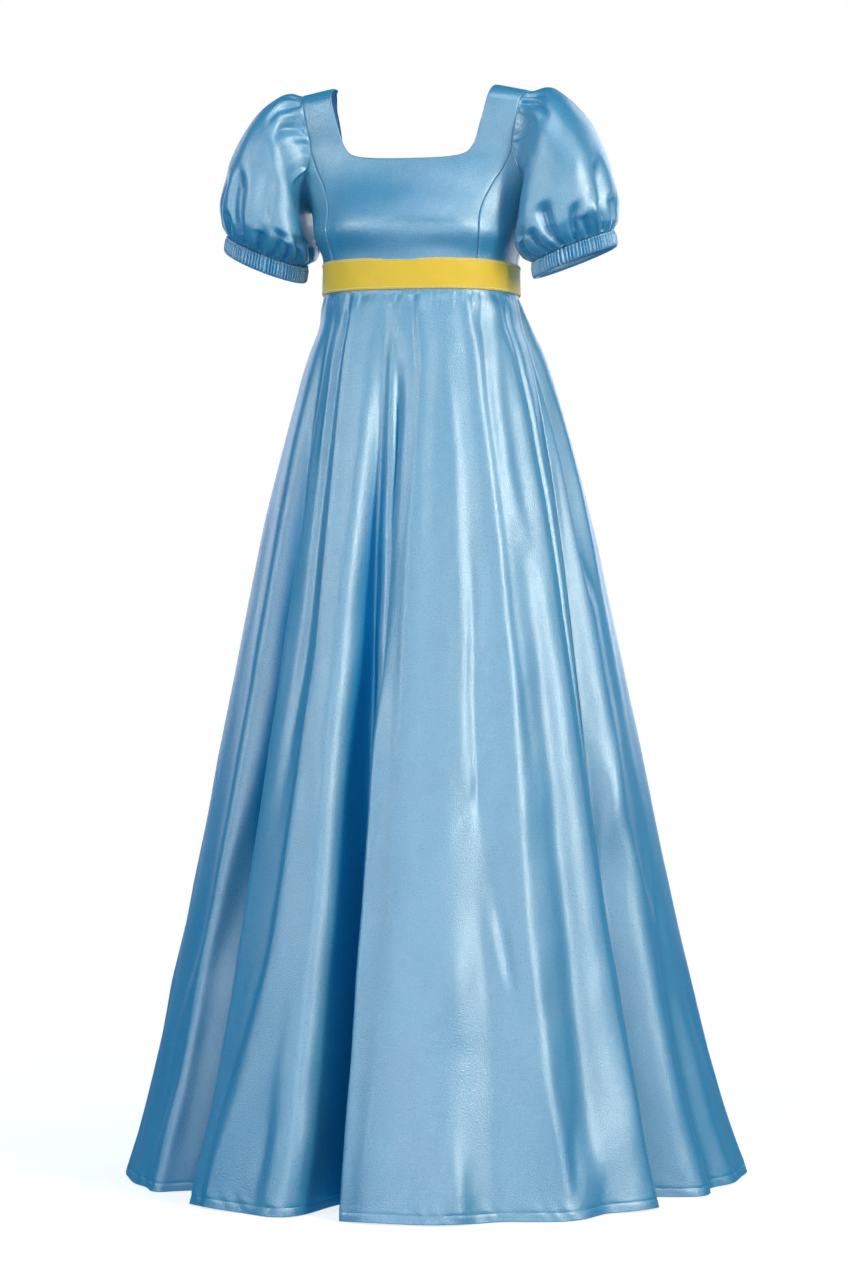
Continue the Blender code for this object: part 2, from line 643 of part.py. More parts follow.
def make_material(name, colour, roughness, metallic):
    material = bpy.data.materials.new(name)
    material.use_nodes = True
    shader = material.node_tree.nodes["Principled BSDF"]
    shader.inputs["Base Color"].default_value = colour
    shader.inputs["Roughness"].default_value = roughness
    shader.inputs["Metallic"].default_value = metallic
    return material


def both_sides(name, lattices, wall, material, collection):
    """The same piece on the wearer's left and right."""
    piece(name + "_left", lattices, wall, material, collection)
    piece(name + "_right", [mirrored(points) for points in lattices], wall, material, collection)


def main():
    for old in list(bpy.data.objects):
        bpy.data.objects.remove(old, do_unlink=True)
    collection = bpy.data.collections.new("regency_gown")
    bpy.context.scene.collection.children.link(collection)
    satin = make_material("satin", SATIN_BLUE, 0.35, 0.2)
    yellow = make_material("ribbon", RIBBON_YELLOW, 0.6, 0.0)

    piece("bodice_front", front_lattices(6, 4, BODICE_ROWS, 13), WALL, satin, collection)
    both_sides("bodice_side", [side_lattice(13, BODICE_ROWS)], WALL, satin, collection)
    both_sides("bodice_back", back_lattices(6, 4, 13, BODICE_ROWS, 13), WALL, satin, collection)
    sleeve = sleeve_lattice(2 * SLEEVE_GATHERS + 1, SLEEVE_ROWS)
    both_sides("sleeve", [sleeve], WALL, satin, collection)
    both_sides("cuff", [cuff_lattice(2 * CUFF_RIBS + 1)], 0.0, satin, collection)
    piece("ribbon", [ribbon_lattice(97, (0.0, 0.5, 1.0))], RIBBON_WALL, yellow, collection)
    front = skirt_lattice(-SIDE_SEAM, SIDE_SEAM, FRONT_GATHERS, 2 * FRONT_GATHERS + 1, SKIRT_DROPS)
    piece("skirt_front", [front], WALL, satin, collection)
    back = skirt_lattice(SIDE_SEAM, 180.0, BACK_GATHERS, 2 * BACK_GATHERS + 1, SKIRT_DROPS)
    piece("skirt_back_left", [back], WALL, satin, collection)
    back = skirt_lattice(-180.0, -SIDE_SEAM, BACK_GATHERS, 2 * BACK_GATHERS + 1, SKIRT_DROPS)
    piece("skirt_back_right", [back], WALL, satin, collection)


main()
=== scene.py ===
"""Looks of the regency gown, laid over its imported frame.

Every piece of cloth repeats the form of its solid at a finer pitch: the same tables and functions of the
body, sleeves and skirt. Gathers, puckers and creases are then pressed into the cloth along its normals. A
press is a depth in metres, inwards where it is above zero. Angles are degrees round the body: 0 at the
centre front, 90 at the wearer's left side and 180 at the back. A drop is a distance straight down from the
shoulder line, and a path is a distance down along the cloth.
"""

from collections import namedtuple

import bpy
import numpy as np
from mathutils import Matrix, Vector


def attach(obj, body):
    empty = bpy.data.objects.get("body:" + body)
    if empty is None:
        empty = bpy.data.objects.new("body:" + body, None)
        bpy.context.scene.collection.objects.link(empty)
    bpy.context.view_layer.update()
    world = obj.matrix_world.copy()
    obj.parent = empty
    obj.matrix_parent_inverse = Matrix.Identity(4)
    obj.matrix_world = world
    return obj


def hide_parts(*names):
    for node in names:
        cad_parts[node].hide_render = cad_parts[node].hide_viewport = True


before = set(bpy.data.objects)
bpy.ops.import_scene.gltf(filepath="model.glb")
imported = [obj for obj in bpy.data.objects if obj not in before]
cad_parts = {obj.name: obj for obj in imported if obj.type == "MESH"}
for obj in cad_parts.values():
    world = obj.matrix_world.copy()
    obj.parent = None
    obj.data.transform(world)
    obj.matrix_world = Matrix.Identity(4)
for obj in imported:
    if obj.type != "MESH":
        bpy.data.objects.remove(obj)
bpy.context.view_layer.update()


def table(kind, *rows):
    """A table whose rows are all of one kind."""
    return tuple(kind(*row) for row in rows)


# Driving dimensions, in metres.
GOWN_LENGTH = 1.412  # shoulder line to hem
WAIST_DROP = 0.246  # shoulder line to the waist seam, under the ribbon
RIBBON_WIDTH = 0.040
CUFF_WIDTH = 0.020
WALL = 0.0012  # one layer of cloth
RIBBON_WALL = 0.0012
CUFF_WALL = 0.0022  # elastic between two layers
SEAM_GAP = 0.00004  # between pieces that are sewn to each other
SHOULDER_SLOPE = 0.20  # fall of the shoulder seam for each metre outwards
SHOULDER_MIDDLE = 0.131  # distance of the middle of the shoulder seam from the centre
SHOULDER_LEAN = 0.022  # how much lower the wearer's left shoulder rides, for each metre across
LEAN_TOP, LEAN_FOOT = 0.19, 0.30  # drops between which the lean dies away
OVAL = 0.04  # how far the body's cross-section is from an ellipse towards a rounded box
BUST_FULLNESS = 0.010
BUST_APART = 0.066  # of each fullest point from the centre front
BUST_DROP = 0.169
BUST_SPREAD = 0.044
BUST_HEIGHT = 0.036
BUST_FOOT, RIBBON_EDGE = 0.235, 0.272  # distances along the cloth between which the bust dies away

# The body's form, down from the shoulder seam: distance along the cloth, then the size there.
Level = namedtuple("Level", "path drop half_width front back middle")
LEVELS = table(
    Level,
    (0.000, 0.0000, 0.2070, 0.000, 0.000, 0.000),
    (0.014, 0.0004, 0.2065, 0.015, 0.015, 0.000),
    (0.030, 0.0040, 0.2050, 0.032, 0.034, 0.001),
    (0.058, 0.0195, 0.2010, 0.052, 0.056, 0.003),
    (0.090, 0.0485, 0.1930, 0.060, 0.072, 0.008),
    (0.120, 0.0775, 0.1800, 0.065, 0.080, 0.014),
    (0.150, 0.1050, 0.1660, 0.076, 0.083, 0.018),
    (0.180, 0.1320, 0.1540, 0.089, 0.086, 0.020),
    (0.215, 0.1630, 0.1440, 0.101, 0.087, 0.020),
    (0.245, 0.1930, 0.1355, 0.107, 0.085, 0.020),
    (0.274, 0.2220, 0.1270, 0.108, 0.081, 0.020),
    (0.298, 0.2460, 0.1270, 0.108, 0.081, 0.020),
    (0.324, 0.2720, 0.1270, 0.108, 0.081, 0.020),
)
WAIST_PATH = 0.298
SLOPE_END = 0.145  # distance along the cloth at which the shoulder's slope has died away

# Edges of the bodice's pieces, as places on the form: across is the distance from the centre line.
EdgePoint = namedtuple("EdgePoint", "across path")
FRONT_NECK = table(
    EdgePoint,
    (0.0000, 0.1383),
    (0.0300, 0.1378),
    (0.0570, 0.1360),
    (0.0765, 0.1310),
    (0.0870, 0.1180),
    (0.0955, 0.0930),
    (0.1040, 0.0590),
    (0.1075, 0.0280),
    (0.1090, 0.0000),
)
BACK_NECK = table(
    EdgePoint,
    (0.0000, 0.1450),
    (0.0400, 0.1446),
    (0.0800, 0.1420),
    (0.1070, 0.1330),
    (0.1190, 0.1200),
    (0.1255, 0.0930),
    (0.1255, 0.0590),
    (0.1195, 0.0280),
    (0.1090, 0.0000),
)
NECK_CORNER = 3  # the row of each neckline where its lower edge turns up into the strap
PRINCESS = table(  # from below the armhole, whose own row comes first, to the waist
    EdgePoint,
    (0.1260, 0.1500),
    (0.1130, 0.1760),
    (0.1035, 0.2060),
    (0.0975, 0.2400),
    (0.0950, 0.2980),
)

# The armhole from the shoulder seam to the underarm: angles from the centre front, or from the centre back.
HolePoint = namedtuple("HolePoint", "angle path")
FRONT_ARMHOLE = table(
    HolePoint,
    (43.5, 0.0000),
    (42.6, 0.0300),
    (41.6, 0.0600),
    (41.8, 0.0950),
    (45.0, 0.1250),
    (51.5, 0.1440),
    (61.5, 0.1640),
    (75.0, 0.1860),
    (90.0, 0.2020),
)
BACK_ARMHOLE = table(
    HolePoint,
    (43.5, 0.0000),
    (43.4, 0.0300),
    (43.6, 0.0600),
    (44.4, 0.0950),
    (47.4, 0.1250),
    (53.0, 0.1440),
    (62.5, 0.1640),
    (75.5, 0.1860),
    (90.0, 0.2020),
)
UNDERARM_WAY = (1.0, 0.0, -0.1)  # the way that the sleeve leaves the underarm
STRAP_END = 4  # the row of each armhole level with the foot of the strap
HOLE_END = len(FRONT_ARMHOLE) - 1

# The left sleeve's rings: top and underside as seen from the front, half the depth and its middle.
SleeveRing = namedtuple("SleeveRing", "along top_x top_z under_x under_z depth middle")
SLEEVE = table(
    SleeveRing,
    (0.00, 0.157, -0.004, 0.1480, -0.154, 0.060, 0.016),
    (0.12, 0.171, 0.003, 0.1530, -0.161, 0.065, 0.012),
    (0.28, 0.197, -0.011, 0.1520, -0.170, 0.073, 0.006),
    (0.45, 0.229, -0.047, 0.1480, -0.180, 0.079, 0.002),
    (0.62, 0.252, -0.097, 0.1435, -0.191, 0.081, -0.001),
    (0.78, 0.2645, -0.143, 0.1400, -0.204, 0.079, -0.001),
    (0.90, 0.2645, -0.168, 0.1415, -0.2175, 0.069, 0.000),
    (1.00, 0.2570, -0.1850, 0.1560, -0.2255, 0.051, 0.000),
)
SLEEVE_START = 0.20  # share of the sleeve that turns from the armhole's shape to its own
SLEEVE_SET = 0.012  # how far the sleeve first runs on in line with the bodice
CUFF_PITCH = 0.13  # how far the cuff's front hangs below its back, for each metre of depth
SLEEVE_OVAL = 0.09  # how far the sleeve's rings are from an ellipse towards a rounded box
SLEEVE_WRAP = 0.014  # how far the sleeve's front laps over the bodice
CUFF_SPLAY = 0.16  # how far the cuff moves outwards for each metre down

# The skirt's rings, before its folds: front and back are depths from the ring's middle.
SkirtRing = namedtuple("SkirtRing", "drop half_width front back middle oval")
SKIRT = table(
    SkirtRing,
    (0.246, 0.1270, 0.108, 0.081, 0.020, 0.040),
    (0.268, 0.1270, 0.108, 0.081, 0.020, 0.040),
    (0.282, 0.1310, 0.119, 0.089, 0.026, 0.038),
    (0.306, 0.1365, 0.141, 0.098, 0.040, 0.034),
    (0.339, 0.1510, 0.155, 0.112, 0.045, 0.028),
    (0.404, 0.1725, 0.171, 0.145, 0.047, 0.020),
    (0.535, 0.2080, 0.198, 0.188, 0.048, 0.010),
    (0.796, 0.2630, 0.248, 0.248, 0.048, 0.000),
    (1.057, 0.3135, 0.304, 0.306, 0.052, 0.000),
    (1.318, 0.3730, 0.368, 0.378, 0.060, 0.000),
    (1.412, 0.4020, 0.392, 0.408, 0.064, 0.000),
)
FOLD_TOP = 0.268  # the drop at which the folds begin, at the foot of the ribbon
FOLD_GROWTH = 1.15  # how the folds deepen towards the hem
TURN_FADE = 16.0  # how soon below the waist the cloth reaches the angle it has at the hem

# Where the cloth at each angle of the hem starts at the waist.
Turn = namedtuple("Turn", "hem waist")
TURNS = table(
    Turn,
    (0, 0),
    (20, 25),
    (42, 47),
    (58, 72),
    (68, 90),
    (90, 112),
    (135, 146),
    (180, 180),
)
SIDE_SEAM = 68.0  # of the skirt, at the hem

# The folds: angle at the hem, depth there with outwards above zero, half-width in degrees, the share of the
# skirt above which the fold is missing, and how far its crest leans to the wearer's left.
Fold = namedtuple("Fold", "angle depth width start lean")
FOLDS = table(
    Fold,
    (-167, 0.020, 6.0, 0.0, 0.000),
    (-153, -0.038, 6.0, 0.0, 0.004),
    (-139, 0.020, 6.5, 0.0, 0.000),
    (-126, -0.046, 6.0, 0.0, -0.004),
    (-112, 0.016, 6.5, 0.0, 0.000),
    (-99, -0.030, 5.5, 0.1, 0.000),
    (-84, 0.008, 6.0, 0.0, 0.000),
    (-68, 0.001, 6.0, 0.0, 0.000),
    (-53, -0.009, 4.5, 0.0, 0.000),
    (-40, -0.120, 4.4, 0.0, -0.002),
    (-27, -0.002, 4.8, 0.0, -0.028),
    (-14, 0.005, 4.0, 0.2, 0.000),
    (-4.5, -0.134, 3.9, 0.0, -0.002),
    (5, -0.004, 4.2, 0.0, -0.034),
    (16, 0.007, 6.0, 0.0, 0.000),
    (28, -0.008, 4.4, 0.1, 0.000),
    (39, 0.011, 5.0, 0.0, 0.000),
    (49, -0.012, 4.0, 0.0, 0.000),
    (57, -0.004, 4.2, 0.0, 0.020),
    (67.5, -0.062, 5.0, 0.0, 0.000),
    (84, -0.018, 5.0, 0.0, 0.000),
    (104, 0.011, 7.0, 0.0, 0.000),
    (120, -0.042, 6.0, 0.1, 0.004),
    (134, 0.020, 6.5, 0.0, 0.000),
    (148, -0.034, 6.0, 0.0, -0.003),
    (163, 0.022, 6.0, 0.0, 0.000),
    (179, -0.046, 6.5, 0.0, 0.000),
)


def smooth(rows, key, value, at):
    """One column of a table read along another, on a smooth curve that never overshoots."""
    x = np.array([getattr(row, key) for row in rows], float)
    y = np.array([getattr(row, value) for row in rows], float)
    step = np.diff(x)
    rise = np.diff(y) / step
    same_way = rise[:-1] * rise[1:] > 0
    before = np.where(same_way, rise[:-1], 1.0)
    after = np.where(same_way, rise[1:], 1.0)
    first = 2 * step[1:] + step[:-1]
    second = step[1:] + 2 * step[:-1]
    slope = np.zeros(len(x))
    slope[0] = rise[0]
    slope[-1] = rise[-1]
    slope[1:-1] = np.where(same_way, (first + second) / (first / before + second / after), 0.0)
    at = np.clip(np.asarray(at, float), x[0], x[-1])
    i = np.clip(np.searchsorted(x, at, side="right") - 1, 0, len(step) - 1)
    t = (at - x[i]) / step[i]
    return (
        y[i] * (1 + 2 * t) * (1 - t) ** 2
        + slope[i] * step[i] * t * (1 - t) ** 2
        + y[i + 1] * t**2 * (3 - 2 * t)
        + slope[i + 1] * step[i] * t**2 * (t - 1)
    )


def ease(x):
    """0 below 0, 1 above 1, and smooth between."""
    x = np.clip(x, 0.0, 1.0)
    return x * x * (3 - 2 * x)


def bell(away, width):
    """1 at the middle, falling away on both sides."""
    return np.exp(-((away / width) ** 2))


def off_angle(angle, middle):
    """Degrees from the middle to an angle, the shorter way round."""
    return (angle - middle + 180) % 360 - 180


def oval_x(angle, oval):
    """Sideways reach of a rounded oval of half-width 1."""
    return (1 + oval) * np.sin(angle) + oval * np.sin(3 * angle)


def oval_y(angle, oval):
    """Forward reach of a rounded oval of depth 1."""
    return (1 + oval) * np.cos(angle) - oval * np.cos(3 * angle)


def leaned(points):
    """The points with the shoulders' lean."""
    fade = 1 - ease((-points[..., 2] - LEAN_TOP) / (LEAN_FOOT - LEAN_TOP))
    points = points.copy()
    points[..., 2] -= SHOULDER_LEAN * points[..., 0] * fade
    return points


def body(degrees, path):
    """Points of the body's form."""
    angle = np.radians(degrees)
    forward = oval_y(angle, OVAL)
    x = smooth(LEVELS, "path", "half_width", path) * oval_x(angle, OVAL)
    drop = smooth(LEVELS, "path", "drop", path)
    fullness = BUST_FULLNESS * np.exp(
        -(((np.abs(x) - BUST_APART) / BUST_SPREAD) ** 2) - ((drop - BUST_DROP) / BUST_HEIGHT) ** 2
    )
    fullness = fullness * (1 - ease((path - BUST_FOOT) / (RIBBON_EDGE - BUST_FOOT)))
    front = smooth(LEVELS, "path", "front", path) + fullness
    back = smooth(LEVELS, "path", "back", path)
    y = smooth(LEVELS, "path", "middle", path) - np.where(forward > 0, front, back) * forward
    slope = SHOULDER_SLOPE * (1 - ease(np.asarray(path) / SLOPE_END))
    z = -drop - slope * (np.abs(x) - SHOULDER_MIDDLE)
    return np.stack(np.broadcast_arrays(x, y, z), axis=-1)


def reach_at(degrees, path):
    """Distance from the centre line at this angle."""
    return smooth(LEVELS, "path", "half_width", path) * oval_x(np.radians(degrees), OVAL)


def angle_at(across, path):
    """Angle at which the form lies this far from its centre line."""
    angles = np.linspace(0.0, 90.0, 721)
    share = np.asarray(across) / smooth(LEVELS, "path", "half_width", path)
    return np.interp(share, oval_x(np.radians(angles), OVAL), angles)


def along_edge(edge, place):
    """Angle and path at a place on an edge, counted in its rows."""
    fields = edge[0]._fields
    numbered = namedtuple("Numbered", ("row",) + fields)
    rows = [numbered(i, *point) for i, point in enumerate(edge)]
    first = smooth(rows, "row", fields[0], place)
    path = smooth(rows, "row", "path", place)
    return (angle_at(first, path) if fields[0] == "across" else first), path


def princess_seam(w):
    """Angle and path of the princess seam, for places from 0 at the waist to 1 at the armhole."""
    top = FRONT_ARMHOLE[STRAP_END]
    edge = (EdgePoint(float(reach_at(top.angle, top.path)), top.path),) + PRINCESS
    return along_edge(edge, (1 - np.asarray(w)) * (len(edge) - 1))


def patch(foot, head, start, end, columns, rows):
    """Angles and paths that fill four edges, each a function of 0 to 1 along it."""
    u, w = np.meshgrid(columns, rows)
    places = []
    for k in (0, 1):
        corner = {(a, b): (head if b else foot)(float(a))[k] for a in (0, 1) for b in (0, 1)}
        sides = (1 - w) * foot(u)[k] + w * head(u)[k] + (1 - u) * start(w)[k] + u * end(w)[k]
        corners = (
            (1 - u) * (1 - w) * corner[0, 0]
            + u * (1 - w) * corner[1, 0]
            + (1 - u) * w * corner[0, 1]
            + u * w * corner[1, 1]
        )
        places.append(sides - corners)
    return places


def straight(one, other):
    """An edge that runs straight from one place to another."""
    return lambda t: tuple(a + np.asarray(t, float) * (b - a) for a, b in zip(one, other))


def strap(neck, hole, columns, rows):
    """Angles and paths of a strap, from its foot to the shoulder seam and from the neck to the armhole."""
    corner = along_edge(neck, NECK_CORNER)
    armpit = along_edge(hole, STRAP_END)
    neck_top = along_edge(neck, len(neck) - 1)
    hole_top = along_edge(hole, 0)

    def inner(w):
        return along_edge(neck, NECK_CORNER + np.asarray(w) * (len(neck) - 1 - NECK_CORNER))

    def outer(w):
        return along_edge(hole, STRAP_END * (1 - np.asarray(w)))

    return patch(straight(corner, armpit), straight(neck_top, hole_top), inner, outer, columns, rows)


def below_neck(neck, hole, columns, rows, armhole_share, strap_share, seam):
    """Angles and paths of a panel below its neckline, from the centre line to a seam.

    The panel's head runs along the neckline, then the strap's foot, then down the armhole.
    """
    corner = along_edge(neck, NECK_CORNER)
    armpit = along_edge(hole, STRAP_END)
    neck_share = 1 - strap_share - armhole_share
    seam_foot = seam(0.0)

    def head(u):
        u = np.asarray(u, float)
        on_neck = along_edge(neck, np.clip(u / neck_share, 0, 1) * NECK_CORNER)
        share = np.clip((u - neck_share) / strap_share, 0, 1)
        on_strap = straight(corner, armpit)(share)
        past = np.clip((u - neck_share - strap_share) / max(armhole_share, 1e-9), 0, 1)
        on_hole = along_edge(hole, STRAP_END + past * (HOLE_END - STRAP_END))
        in_neck = u <= neck_share + 1e-9
        in_strap = u <= neck_share + strap_share + 1e-9
        places = zip(on_neck, on_strap, on_hole)
        return tuple(np.where(in_neck, one, np.where(in_strap, two, three)) for one, two, three in places)

    foot = straight((0.0, WAIST_PATH), seam_foot)
    centre = straight((0.0, WAIST_PATH), (0.0, neck[0].path))
    return patch(foot, head, centre, seam, columns, rows)


def trimmed(points, edges):
    """The lattice with the named edges drawn in by half a seam gap: west, east, south or north."""
    points = points.copy()
    sides = {
        "w": (np.s_[:, 0], np.s_[:, 1]),
        "e": (np.s_[:, -1], np.s_[:, -2]),
        "s": (np.s_[0], np.s_[1]),
        "n": (np.s_[-1], np.s_[-2]),
    }
    for edge in edges:
        rim, inner = sides[edge]
        inwards = points[inner] - points[rim]
        length = np.linalg.norm(inwards, axis=-1, keepdims=True)
        points[rim] += inwards / length * SEAM_GAP / 2
    return points


def mirrored(points):
    """The same lattice on the wearer's other side."""
    return points[:, ::-1] * np.array((-1.0, 1.0, 1.0))


def outward(points):
    """Unit normals of a lattice whose columns run all the way round and whose rows run downwards."""
    ring = points[:, :-1]
    round_it = np.roll(ring, -1, axis=1) - np.roll(ring, 1, axis=1)
    round_it = np.concatenate([round_it, round_it[:, :1]], axis=1)
    normal = np.cross(np.gradient(points, axis=0), round_it)
    return normal / np.linalg.norm(normal, axis=-1, keepdims=True)


def armhole_points(turn):
    """The armhole where the sleeve starts, and the way that the bodice's cloth runs there.

    The turn goes from 0 at the shoulder seam, through 90 at the front and 180 at the underarm.
    """
    turn = np.asarray(turn, float) % 360.0
    in_front = turn <= 180.0
    place = np.where(in_front, turn, 360.0 - turn) / 180.0 * HOLE_END

    def at(spot, inset):
        front, back = (
            body_angle_inset(along_edge(hole, spot), spot, inset) for hole in (FRONT_ARMHOLE, BACK_ARMHOLE)
        )
        return np.where(in_front[..., None], body(*front), body(180.0 - back[0], back[1]))

    rim = at(place, 0.0)
    heading = rim - at(place, 1.0)
    heading /= np.linalg.norm(heading, axis=-1, keepdims=True)
    sideways = ease(place / STRAP_END - 0.8)[..., None]
    heading = heading * (1 - sideways) + np.array(UNDERARM_WAY) * sideways
    ahead = at(np.clip(place + 0.02, 0, HOLE_END), 0.0)
    behind = at(np.clip(place - 0.02, 0, HOLE_END), 0.0)
    along = (ahead - behind) / np.linalg.norm(ahead - behind, axis=-1, keepdims=True)
    heading -= along * (heading * along).sum(axis=-1, keepdims=True)
    return rim, heading / np.linalg.norm(heading, axis=-1, keepdims=True)


def body_angle_inset(edge_place, spot, inset):
    """An armhole place moved a little way into the bodice."""
    angle, path = edge_place
    inner_angle = angle - inset * ease(1.6 - spot / STRAP_END)
    inner_path = path + inset * 0.004 * ease(spot / STRAP_END - 0.3)
    return inner_angle, inner_path


def sleeve_ring(turn, along):
    """Points of the left sleeve's own form."""
    angle = np.radians(turn)
    top = [smooth(SLEEVE, "along", name, along) for name in ("top_x", "top_z")]
    under = [smooth(SLEEVE, "along", name, along) for name in ("under_x", "under_z")]
    swing = np.cos(angle)
    x = (top[0] + under[0]) / 2 + swing * (top[0] - under[0]) / 2
    lap = np.clip(np.sin(angle), 0, 1) * (1 - swing) / 2
    lap = lap * ease(along / 0.4) * (1 - ease((along - 0.75) / 0.25))
    x = x - SLEEVE_WRAP * lap
    reach = oval_x(angle, SLEEVE_OVAL * (1 - ease((along - 0.8) / 0.2)))
    y = smooth(SLEEVE, "along", "middle", along) - smooth(SLEEVE, "along", "depth", along) * reach
    z = (top[1] + under[1]) / 2 + swing * (top[1] - under[1]) / 2 + CUFF_PITCH * y * ease(along)
    return np.stack(np.broadcast_arrays(x, y, z), axis=-1)


def skirt_points(hem_angle, drop):
    """Points of the skirt with its folds, for cloth that reaches the hem at these angles."""
    share = np.clip((drop - WAIST_DROP) / (GOWN_LENGTH - WAIST_DROP), 0, 1)
    fade = (1 - share) / (1 - share + TURN_FADE * share)
    waist_angle = np.sign(hem_angle) * smooth(TURNS, "hem", "waist", np.abs(hem_angle))
    angle = np.radians(hem_angle + (waist_angle - hem_angle) * fade)
    oval = smooth(SKIRT, "drop", "oval", drop)
    forward = oval_y(angle, oval)
    depth = np.where(forward > 0, smooth(SKIRT, "drop", "front", drop), smooth(SKIRT, "drop", "back", drop))
    x = smooth(SKIRT, "drop", "half_width", drop) * oval_x(angle, oval)
    y = smooth(SKIRT, "drop", "middle", drop) - depth * forward
    out = np.stack([np.sin(angle), -np.cos(angle)])
    along = np.stack([np.cos(angle), np.sin(angle)])
    fallen = np.clip((drop - FOLD_TOP) / (GOWN_LENGTH - FOLD_TOP), 0, 1)
    for fold in FOLDS:
        away = off_angle(hem_angle, fold.angle)
        grown = np.clip((fallen - fold.start) / (1 - fold.start), 0, 1) ** FOLD_GROWTH
        reach = bell(away, fold.width) * grown
        x = x + (out[0] * fold.depth + along[0] * fold.lean) * reach
        y = y + (out[1] * fold.depth + along[1] * fold.lean) * reach
    return np.stack(np.broadcast_arrays(x, y, -drop), axis=-1)


# ---- the cloth at a fine pitch ----

SHELL = 0.0008  # thickness of the visible cloth
RIBBON_SHELL = 0.0010
SEAM_TUCK = 0.0013  # how deep a seam pulls its cloth in
NECK_ROLL = 0.0009
EDGE_REACH = 0.0009  # how far from an edge its tuck is felt
FINE = 0.0008  # distance between the rows next to an edge
EDGE_ROWS = (0.0, 1.0, 2.2, 4.0)  # the rows next to an edge, counted in that distance

# A piece's part on one lattice of points, with its press and its places on the flat cloth.
Sheet = namedtuple("Sheet", "points press flat")

# Gathers into a seam: how many to a full turn, how deep, how far they reach, and the least share of the depth
# that any of them has.
Gathers = namedtuple("Gathers", "count depth reach steady")
HEAD_GATHERS = Gathers(30, 0.0042, 0.015, 0.25)
CUFF_GATHERS = Gathers(54, 0.0030, 0.011, 0.25)
WAIST_GATHERS = Gathers(38, 0.0034, 0.016, 0.10)
FINE_WAIST_GATHERS = Gathers(83, 0.0009, 0.013, 0.10)

# Slack in the cloth: how deep its waves are, and about how long across and along it.
Slack = namedtuple("Slack", "depth wide long")
BODICE_SLACK = Slack(0.00010, 0.040, 0.060)
SLEEVE_SLACK = Slack(0.00025, 0.040, 0.060)
RIBBON_SLACK = Slack(0.00025, 0.045, 0.060)
SKIRT_SLACKS = (Slack(0.0005, 0.120, 0.60), Slack(0.0004, 0.160, 0.20), Slack(0.00012, 0.034, 0.10))
SKIRT_SLACK_STARTS = (0.30, 0.12, 0.10)  # distances below the ribbon over which each of them grows
WAVES = 16


def shares(span, step):
    """Places from 0 to 1 along a span, a step apart and closer together at both ends."""
    ends = np.array(EDGE_ROWS) * FINE / span
    count = round((span - 2 * EDGE_ROWS[-1] * FINE) / step)
    middle = np.linspace(ends[-1], 1 - ends[-1], max(2, count) + 1)
    return np.concatenate([ends[:-1], middle, 1 - ends[:-1][::-1]])


def along_cloth(points, axis):
    """Distance along the cloth from the first row or column."""
    step = np.linalg.norm(np.diff(points, axis=axis), axis=-1)
    start = np.zeros_like(np.take(step, [0], axis=axis))
    return np.concatenate([start, np.cumsum(step, axis=axis)], axis=axis)


def from_edges(points):
    """Distance of every point from the west, east, south and north edges."""
    across, up = along_cloth(points, 1), along_cloth(points, 0)
    return {"w": across, "e": across[:, -1:] - across, "s": up, "n": up[-1:] - up}


def tucks(points, edges, depth=SEAM_TUCK):
    """The press of seams along the named edges."""
    away = from_edges(points)
    press = np.zeros(points.shape[:2])
    for edge in edges:
        press = np.maximum(press, depth * np.exp(-away[edge] / EDGE_REACH))
    return press


def clear_of(points, edges, reach):
    """0 at the named edges and 1 beyond their reach."""
    away = from_edges(points)
    share = np.ones(points.shape[:2])
    for edge in edges:
        share = share * ease(away[edge] / reach)
    return share


def slack(across, up, kind, seed):
    """The press of slack in the cloth: long soft waves of uneven direction."""
    rng = np.random.RandomState(seed)
    total = np.zeros(np.broadcast(across, up).shape)
    for _ in range(WAVES):
        one = 2 * np.pi / (kind.wide * rng.uniform(0.7, 2.2))
        other = 2 * np.pi / (kind.long * rng.uniform(0.7, 2.0)) * rng.choice((-1, 1))
        total = total + np.sin(across * one + up * other + rng.uniform(0, 2 * np.pi))
    return kind.depth * (total / np.sqrt(WAVES))


def uneven(share, least, most, seed, turns=9):
    """A value that wanders between two limits round a closed seam."""
    rng = np.random.RandomState(seed)
    total = np.zeros_like(share)
    for turn in range(1, turns + 1):
        total = total + np.sin(2 * np.pi * turn * share + rng.uniform(0, 2 * np.pi)) * rng.uniform(0.4, 1.0)
    total = np.tanh(total / np.sqrt(turns) * 1.3)
    return least + (most - least) * (total + 1) / 2


def gathers(share, away, kind, seed):
    """The press of cloth gathered into a seam: round ridges and sharp troughs, uneven in size and length."""
    phase = kind.count * share + uneven(share, -0.5, 0.5, seed, kind.count // 2)
    length = kind.reach * uneven(share, 0.45, 1.6, seed + 1, kind.count // 3)
    size = kind.depth * uneven(share, kind.steady, 1.0, seed + 2, kind.count // 2)
    trough = 1 - np.sqrt(np.sin(np.pi * phase) ** 2 + 0.02)
    return size * (trough - 0.35) * np.exp(-((away / length) ** 2))


def flat_map(points):
    """Where each point lies in the flat cloth, in metres."""
    across = along_cloth(points, 1)
    middle = across[:, across.shape[1] // 2 : across.shape[1] // 2 + 1]
    up = np.broadcast_to(along_cloth(points, 0).mean(axis=1, keepdims=True), points.shape[:2])
    return np.stack([across - middle, up], axis=-1)


def sheet(points, press):
    """A sheet on a lattice, with its places on the flat cloth."""
    return Sheet(points, np.broadcast_to(press, points.shape[:2]), flat_map(points))


def other_side(one):
    """A sheet on the wearer's other side."""
    flat = one.flat[:, ::-1] * np.array((-1.0, 1.0))
    return Sheet(mirrored(one.points), one.press[:, ::-1], flat)


# ---- bodice ----

